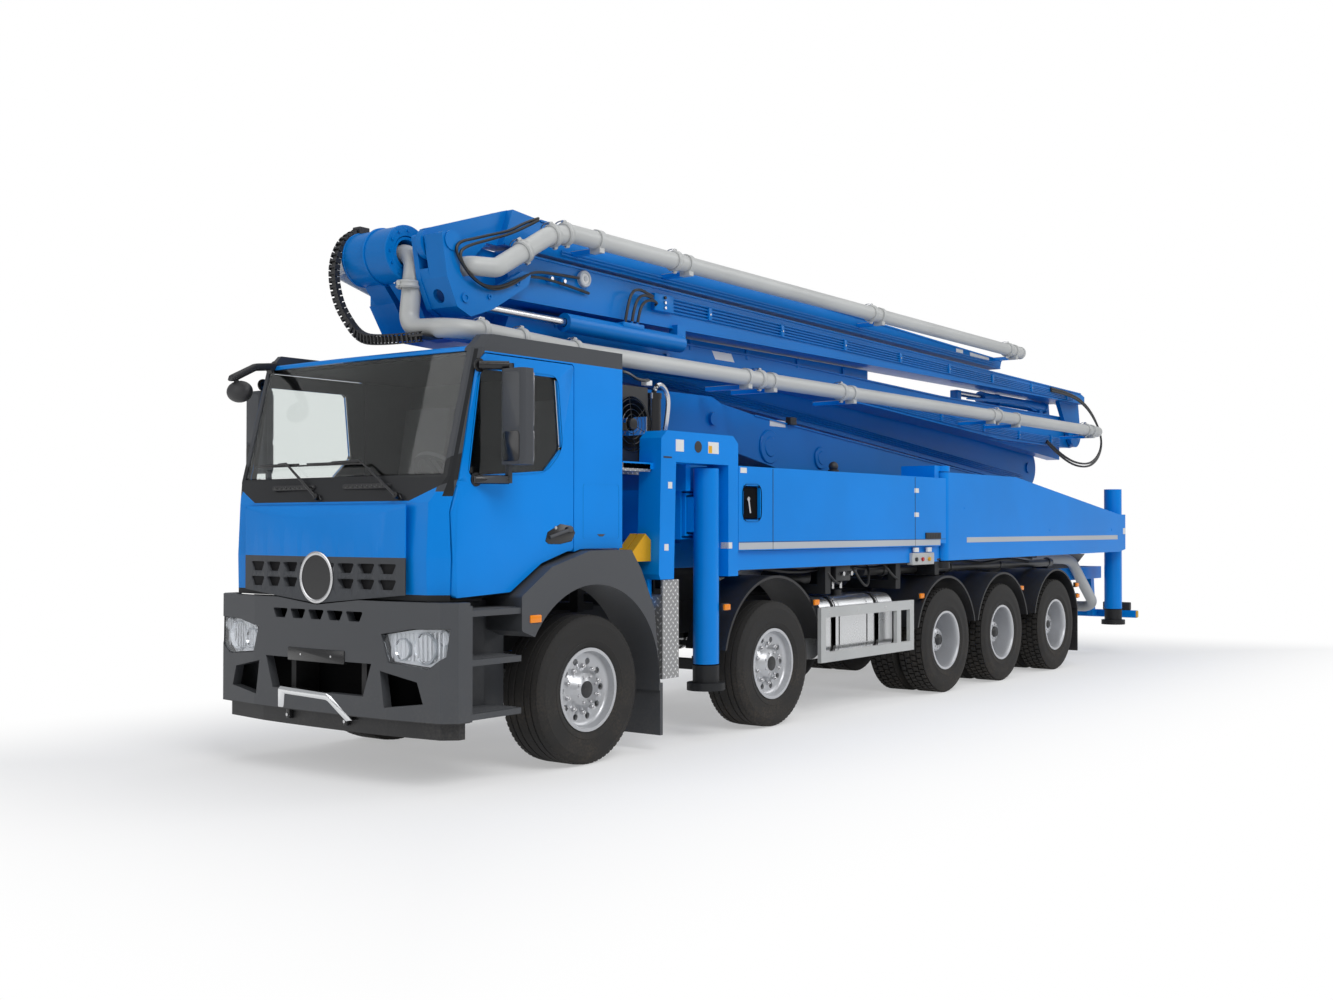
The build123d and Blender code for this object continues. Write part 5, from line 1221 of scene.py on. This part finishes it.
class PUMPTRUCK_OT_boom_trim(bpy.types.Operator):
    """Weld flanges, hydraulic lines, pins, lamp and blank plates on the boom sections"""
    bl_idname = "pump_truck.boom_trim"
    bl_label = "Boom trim"

    def execute(self, context):
        for body in ("boom_d", "boom_e", "boom_c", "boom_b", "boom_a"):
            bm = bmesh.new()
            getattr(self, body)(bm)
            put_piece(f"{body}_trim", bm, body, BOOM_TRIM_FINISHES)
        return {"FINISHED"}

    def pin_ring(self, bm, outer, low_y, high_y):
        """Collar round the pin between the second and the third section."""
        add_spin(bm, [(0.124, low_y), (0.124, high_y), (outer - 0.004, high_y), (outer, high_y - 0.004),
                      (outer, low_y), (0.124, low_y)], (BC_PIN_X, 0, BC_PIN_Z), ALONG_Y, steps=56)

    def boom_d(self, bm):
        """Fourth section: flanges, clamped lines, valve block, round lamp and pin caps."""
        line = sizes().line_radius
        add_flange(bm, [(-5.72, 3.350), (5.14, 3.350)], 0.652, 0.672)
        add_flange(bm, [(-5.60, 3.477), (5.14, 3.692)], 0.652, 0.672)
        for k in range(5):
            add_tube(bm, [(-5.35, 0.676, 3.376 + k * 0.019), (-2.0, 0.676, 3.412 + k * 0.022),
                          (1.5, 0.676, 3.468 + k * 0.026), (3.30, 0.676, 3.486 + k * 0.028)], line * 0.75, sides=8,
                     resolution=3)
        for k in range(8):
            x = -5.1 + k * 1.12
            low_z = 3.366 + (x + 5.35) * 0.0137
            add_box(bm, (x - 0.025, 0.660, low_z), (x + 0.025, 0.690, low_z + 0.105), bevel=0.004)
            add_rod(bm, (x, 0.688, low_z + 0.05), (x, 0.694, low_z + 0.05), 0.009, index=1, sides=6)
        add_box(bm, (3.27, 0.655, 3.470), (3.52, 0.705, 3.612), bevel=0.006)
        for k in range(3):
            add_rod(bm, (3.395, 0.700, 3.500 + k * 0.042), (3.395, 0.722, 3.500 + k * 0.042), 0.013, index=1, sides=6)
        for k, (x, top) in enumerate(((3.93, 3.600), (3.85, 3.565), (3.78, 3.535))):
            add_tube(bm, [(x, 0.735, 3.300), (x - 0.005, 0.750, 3.420), (x - 0.06, 0.755, top - 0.03),
                          (x - 0.16, 0.750, top), (x - 0.27, 0.735, top - 0.015),
                          (3.55 - k * 0.01, 0.710, 3.575 - k * 0.035)], 0.012, index=3, sides=10)
            add_rod(bm, (x, 0.735, 3.272), (x, 0.735, 3.318), 0.017, index=1, sides=8)
        add_box(bm, (3.72, 0.690, 3.276), (3.98, 0.762, 3.316), bevel=0.005)
        add_rod(bm, (4.346, 0.655, 3.606), (4.346, 0.690, 3.606), 0.062, index=2, sides=36)
        add_spin(bm, [(0.040, 0.690), (0.044, 0.697), (0.058, 0.697), (0.064, 0.690), (0.064, 0.670)],
                 (4.346, 0, 3.606), ALONG_Y, steps=36, index=4)
        add_rod(bm, (4.346, 0.690, 3.606), (4.346, 0.696, 3.606), 0.020, index=4, sides=24)
        for x, z, radius in ((5.688, 3.274, 0.034), (5.180, 3.450, 0.026), (5.46, 3.31, 0.018)):
            add_spin(bm, [(0.0, 0.793), (radius * 0.5, 0.793), (radius * 0.55, 0.801), (radius, 0.801),
                          (radius, 0.785)], (x, 0, z), ALONG_Y, steps=28)
        for x in (4.60, 4.74):
            add_rod(bm, (x, 0.655, 3.55), (x, 0.70, 3.55), 0.026, sides=20)
            add_rod(bm, (x, 0.70, 3.55), (x, 0.715, 3.55), 0.016, index=1, sides=6)

    def boom_e(self, bm):
        """Last section: flanges, blank plates and two lines."""
        line = sizes().line_radius
        add_flange(bm, [(-3.09, 3.590), (5.19, 3.735)], 0.652, 0.672)
        add_flange(bm, [(-3.14, 3.687), (4.30, 3.947), (4.82, 3.967)], 0.652, 0.672)
        add_box(bm, (-2.80, 0.6595, 3.668), (-2.30, 0.6612, 3.715), index=2)
        add_box(bm, (-2.12, 0.6595, 3.680), (-1.95, 0.6612, 3.722), index=2)
        for k in range(2):
            z = 3.625 + k * 0.022
            add_tube(bm, [(-2.9, 0.674, z + 0.004), (0.5, 0.674, z + 0.062), (3.5, 0.674, z + 0.115),
                          (4.6, 0.674, z + 0.134)], line * 0.7, sides=8, resolution=3)

    def boom_c(self, bm):
        """Third section: flanges, clamped lines, tray, cylinder and the collars of its pin."""
        line = sizes().line_radius
        add_flange(bm, [(-5.65, 2.762), (-3.45, 2.772), (-0.50, 2.952), (1.00, 3.027), (5.04, 3.037)], 0.472, 0.494)
        add_flange(bm, [(-5.65, 3.150), (-1.90, 3.176), (1.70, 3.271), (4.94, 3.276)], 0.472, 0.494)
        for k in range(5):
            rise = 0.030 + k * 0.020
            add_tube(bm, [(-5.30, 0.497, 2.766 + rise), (-3.45, 0.497, 2.780 + rise), (-0.50, 0.497, 2.960 + rise),
                          (1.00, 0.497, 3.035 + rise), (4.60, 0.497, 3.045 + rise)], line * 0.75, sides=8,
                     resolution=4)
        for x, z in ((-5.0, 2.775), (-4.0, 2.785), (-3.0, 2.825), (-1.9, 2.885), (-0.7, 2.955), (0.6, 3.010),
                     (1.8, 3.037), (3.1, 3.042), (4.3, 3.045)):
            add_box(bm, (x - 0.025, 0.478, z + 0.016), (x + 0.025, 0.512, z + 0.124), bevel=0.004)
            add_rod(bm, (x, 0.510, z + 0.07), (x, 0.516, z + 0.07), 0.009, index=1, sides=6)
        add_plate(bm, [(2.10, 3.190), (2.15, 3.262), (2.44, 3.262), (2.39, 3.190)], 0.4795, 0.4812, index=2)
        for radius, rise in ((0.10, 0.012), (0.085, 0.020)):
            add_spin(bm, [(0.0, 0.48 + rise), (radius * 0.9, 0.48 + rise), (radius, 0.478 + rise), (radius, 0.470)],
                     (-5.70, 0, 2.965), ALONG_Y, steps=40)
        add_box(bm, (-0.30, 0.330, 3.225), (4.70, 0.470, 3.332), bevel=0.006)
        for k in range(6):
            x = 0.2 + k * 0.85
            add_box(bm, (x - 0.02, 0.468, 3.235), (x + 0.02, 0.486, 3.328), bevel=0.003)
        add_rod(bm, (-4.95, 0.400, 3.262), (-3.10, 0.400, 3.268), 0.066, sides=32)
        add_rod(bm, (-3.10, 0.400, 3.268), (-2.45, 0.400, 3.270), 0.034, index=1, sides=24)
        for x in (-4.95, -3.55, -3.12):
            add_rod(bm, (x - 0.03, 0.400, 3.264), (x + 0.03, 0.400, 3.264), 0.074, sides=32)
        for x in (-4.80, -2.45):
            add_box(bm, (x - 0.05, 0.350, 3.150), (x + 0.05, 0.450, 3.300), bevel=0.008)
        for k in range(3):
            add_tube(bm, [(-4.6 + k * 0.05, 0.47, 3.20), (-4.3, 0.485, 3.24 + k * 0.02),
                          (-3.8, 0.48, 3.25 + k * 0.015), (-3.2, 0.475, 3.22 + k * 0.015), (-2.6, 0.47, 3.21)],
                     line, sides=8)
        for outer, low_y, high_y in ((0.200, 0.318, 0.336), (0.206, 0.096, 0.112)):
            self.pin_ring(bm, outer, low_y, high_y)
        for k in range(12):
            turn = math.radians(30 * k)
            x, z = BC_PIN_X + 0.162 * math.cos(turn), BC_PIN_Z + 0.162 * math.sin(turn)
            add_rod(bm, (x, 0.334, z), (x, 0.345, z), 0.010, sides=6)

    def boom_b(self, bm):
        """Second section: flanges and lines on both sides of the pipe, and the collars of its pin."""
        line = sizes().line_radius
        for y_low, y_high in ((0.072, 0.094), (-0.274, -0.252)):
            add_flange(bm, [(-5.20, 2.242), (-3.70, 2.372), (1.50, 2.842), (4.60, 3.032), (4.88, 3.046)], y_low,
                       y_high)
            add_flange(bm, [(-5.15, 2.727), (-4.00, 2.797), (2.20, 3.237), (4.20, 3.417), (4.88, 3.670)], y_low,
                       y_high)
        for k in range(4):
            rise = 0.05 + k * 0.022
            add_tube(bm, [(-5.0, 0.097, 2.27 + rise), (-3.7, 0.097, 2.38 + rise), (1.5, 0.097, 2.85 + rise),
                          (4.5, 0.097, 3.03 + rise)], line * 0.75, sides=8, resolution=4)
        for outer, low_y, high_y in ((0.196, -0.136, -0.118), (0.194, 0.070, 0.086)):
            self.pin_ring(bm, outer, low_y, high_y)

    def boom_a(self, bm):
        """First section: flanges, pin caps, a small box and a blank plate."""
        for y_low, y_high in ((0.272, 0.292), (-0.292, -0.272)):
            add_flange(bm, [(1.50, 2.750), (-3.65, 2.300), (-3.88, 2.308)], y_low, y_high)
            add_flange(bm, [(-3.88, 2.000), (-3.30, 1.962), (0.0, 2.062), (2.28, 2.474)], y_low, y_high)
        for x, z, radius in ((2.29, 2.67, 0.150), (1.25, 2.47, 0.165), (0.33, 2.40, 0.115), (-3.60, 2.15, 0.10)):
            for way in (-1, 1):
                add_spin(bm, [(0.0, way * 0.306), (radius * 0.55, way * 0.306), (radius * 0.60, way * 0.298),
                              (radius * 0.95, way * 0.298), (radius, way * 0.290), (radius, way * 0.270)],
                         (x, 0, z), ALONG_Y, steps=44)
        add_box(bm, (0.84, 0.27, 2.700), (0.95, 0.330, 2.775), bevel=0.006, index=3)
        add_box(bm, (0.97, 0.2795, 2.672), (1.24, 0.2815, 2.735), index=2)


class PUMPTRUCK_OT_boom_hoses(bpy.types.Operator):
    """Hoses at both ends of the boom, and the energy chain down to the cab roof"""
    bl_idname = "pump_truck.boom_hoses"
    bl_label = "Boom hoses"

    def execute(self, context):
        radius = sizes().hose_radius
        for name, body, routes in (("head_hoses", "boom_d", HEAD_HOSES), ("tail_hoses", "boom_c", REAR_HOSES)):
            bm = bmesh.new()
            for route in routes:
                add_tube(bm, route, radius if name == "head_hoses" else radius * 1.3, sides=10)
            put_piece(name, bm, body, "hose_rubber")
        self.energy_chain()
        return {"FINISHED"}

    def energy_chain(self):
        """Links set along a smooth route, each with its side plates and cross bars."""
        mesh = curve_mesh(CHAIN, 24)
        path = [vert.co.copy() for vert in mesh.vertices]
        bpy.data.meshes.remove(mesh)
        bm = bmesh.new()
        travelled, last, across = 0.0, path[0], Vector(ALONG_Y)
        for here, after in zip(path, path[1:]):
            travelled += (here - last).length
            last = here
            run = (after - here).normalized()
            across = (across - run * across.dot(run)).normalized()
            if travelled < LINK_PITCH:
                continue
            travelled = 0.0
            turn = Matrix((run, across, run.cross(across))).transposed()
            for size, centre, index in LINK_PARTS:
                verts = add_block(bm, size, centre)
                turn_verts(bm, verts, turn)
                bmesh.ops.translate(bm, vec=here, verts=verts)
                paint_faces(faces_of(verts), index)
        add_box(bm, (5.760, -0.195, 3.795), (5.850, -0.115, 3.850), bevel=0.005)
        add_box(bm, (5.800, 0.560, 2.986), (5.990, 0.700, 3.004), bevel=0.004)
        put_piece("energy_chain", bm, "boom_b", ["black_plastic", "hose_rubber"], smooth=0)


# ------------------------------------------------------------------ stage
LIGHTS = (  # name, place, aim, power, size
    ("key_light", (10, 15, 15), (1, 0, 1.5), 2000, 11), ("fill_light", (19, -6, 8), (3, 0, 1.5), 560, 11),
    ("rear_light", (-14, 13, 12), (-3, 0, 2), 900, 11), ("top_light", (0, 0, 16), (0, 0, 0), 700, 14),
)
CAMERA_PLACE, CAMERA_LOOK = (12.435, 7.933, 1.707), (-0.815, -0.580, 0.0134)
CAMERA_LENS, CAMERA_SHIFT = 38.02, (-0.0575, 0.0054)
FLOOR_DROP = 0.0005  # how far the floor lies under the tyres
FADE_X, FADE_Y, FADE_FROM, FADE_TO = 6.0, 1.0, 0.4, 3.6  # a box round the truck, and where past it the floor whitens
FLOOR_LIFT = 0.4  # share of white that the floor has close to the truck
GLOSS_OF_SKY = 0.3  # how much of the white surround the paint reflects


def blend_shaders(tree, factor, first, second, output):
    """Mixes two shaders into an output's surface."""
    blend = tree.nodes.new("ShaderNodeMixShader")
    for socket, value in zip(blend.inputs, (factor, first.outputs[0], second.outputs[0])):
        tree.links.new(value, socket)
    tree.links.new(blend.outputs[0], tree.nodes[output].inputs["Surface"])


class PUMPTRUCK_OT_stage(bpy.types.Operator):
    """Pale floor, soft light and the camera"""
    bl_idname = "pump_truck.stage"
    bl_label = "Stage"

    def execute(self, context):
        scene = context.scene
        scene.view_settings.view_transform = "Standard"
        bm = bmesh.new()
        bmesh.ops.create_grid(bm, x_segments=1, y_segments=1, size=sizes().floor_size / 2)
        mesh = bpy.data.meshes.new("studio_floor")
        bm.to_mesh(mesh)
        bm.free()
        mesh.materials.append(self.floor_material())
        put_object("studio_floor", mesh, (0, 0, -FLOOR_DROP))
        self.world(scene)
        for name, place, aim, power, size in LIGHTS:
            lamp = bpy.data.lights.new(name, "AREA")
            lamp.energy, lamp.size = power, size
            aimed = (Vector(aim) - Vector(place)).to_track_quat("-Z", "Y")
            put_object(name, lamp, place).rotation_euler = aimed.to_euler()
        camera = bpy.data.cameras.new("camera")
        camera.sensor_width, camera.lens, camera.clip_end = 36.0, CAMERA_LENS, 300
        camera.shift_x, camera.shift_y = CAMERA_SHIFT
        scene.camera = put_object("camera", camera, CAMERA_PLACE)
        scene.camera.rotation_mode = "QUATERNION"
        scene.camera.rotation_quaternion = Vector(CAMERA_LOOK).normalized().to_track_quat("-Z", "Y")
        return {"FINISHED"}

    def floor_material(self):
        """Pale floor that takes the shadow, and fades to plain white away from the truck."""
        mat, tree, shader, coord = new_material("studio_floor")
        tone = band(tree, noise(tree, coord, 0.4, 2.0), 0.2, 0.8)
        pale = mix_colour(tree, tone, (0.93, 0.93, 0.93, 1), (0.95, 0.95, 0.95, 1))
        tree.links.new(pale, shader.inputs["Base Color"])
        shader.inputs["Roughness"].default_value = 0.9
        shader.inputs["Specular IOR Level"].default_value = 0.1
        split = tree.nodes.new("ShaderNodeSeparateXYZ")
        tree.links.new(coord, split.inputs[0])
        ahead = math_node(tree, "SUBTRACT", math_node(tree, "ABSOLUTE", split.outputs["X"]), FADE_X)
        aside = math_node(tree, "SUBTRACT", math_node(tree, "ABSOLUTE", split.outputs["Y"]), FADE_Y)
        far = band(tree, math_node(tree, "MAXIMUM", ahead, aside), FADE_FROM, FADE_TO)
        lift = math_node(tree, "ADD", math_node(tree, "MULTIPLY", far, 1 - FLOOR_LIFT), FLOOR_LIFT)
        path = tree.nodes.new("ShaderNodeLightPath")
        seen = math_node(tree, "MAXIMUM", path.outputs["Is Camera Ray"], path.outputs["Is Glossy Ray"])
        seen = math_node(tree, "MAXIMUM", seen, path.outputs["Is Transmission Ray"])
        blend_shaders(tree, math_node(tree, "MULTIPLY", lift, seen), shader, tree.nodes.new("ShaderNodeEmission"),
                      "Material Output")
        return mat

    def world(self, scene):
        """White where the camera sees it, and a soft pale blue light for all else."""
        scene.world = bpy.data.worlds.new("studio")
        scene.world.use_nodes = True
        tree = scene.world.node_tree
        ground, shown = tree.nodes["Background"], tree.nodes.new("ShaderNodeBackground")
        ground.inputs["Color"].default_value = (0.9, 0.93, 1.0, 1)
        ground.inputs["Strength"].default_value = 0.25
        shown.inputs["Color"].default_value = (1, 1, 1, 1)
        path = tree.nodes.new("ShaderNodeLightPath")
        rays = math_node(tree, "MAXIMUM", path.outputs["Is Camera Ray"], path.outputs["Is Transmission Ray"])
        glossy = math_node(tree, "MULTIPLY", path.outputs["Is Glossy Ray"], GLOSS_OF_SKY)
        blend_shaders(tree, math_node(tree, "MAXIMUM", rays, glossy), ground, shown, "World Output")


OPERATORS = (
    PUMPTRUCK_OT_stage, PUMPTRUCK_OT_paint, PUMPTRUCK_OT_wheels, PUMPTRUCK_OT_cab_front, PUMPTRUCK_OT_headlights,
    PUMPTRUCK_OT_cab_sides, PUMPTRUCK_OT_body_trim, PUMPTRUCK_OT_under_body, PUMPTRUCK_OT_cooler_trim,
    PUMPTRUCK_OT_rear_trim, PUMPTRUCK_OT_boom_pipes, PUMPTRUCK_OT_boom_trim, PUMPTRUCK_OT_boom_hoses,
)


class PUMPTRUCK_PT_panel(bpy.types.Panel):
    """Lists the steps that detail the truck"""
    bl_idname = "PUMPTRUCK_PT_panel"
    bl_label = "Pump Truck"
    bl_space_type = "VIEW_3D"
    bl_region_type = "UI"
    bl_category = "Pump Truck"

    def draw(self, context):
        for group in (colours(), sizes()):
            for key in group.__annotations__:
                self.layout.prop(group, key)
        for operator in OPERATORS:
            self.layout.operator(operator.bl_idname)


CLASSES = (PumpTruckColours, PumpTruckSizes, *OPERATORS, PUMPTRUCK_PT_panel)


def register():
    for cls in CLASSES:
        bpy.utils.register_class(cls)
    bpy.types.Scene.pump_truck_colours = PointerProperty(type=PumpTruckColours)
    bpy.types.Scene.pump_truck_sizes = PointerProperty(type=PumpTruckSizes)


def unregister():
    del bpy.types.Scene.pump_truck_sizes
    del bpy.types.Scene.pump_truck_colours
    for cls in reversed(CLASSES):
        bpy.utils.unregister_class(cls)


def main():
    register()
    for operator in OPERATORS:
        group, name = operator.bl_idname.split(".")
        getattr(getattr(bpy.ops, group), name)()


if __name__ == "__main__":
    main()
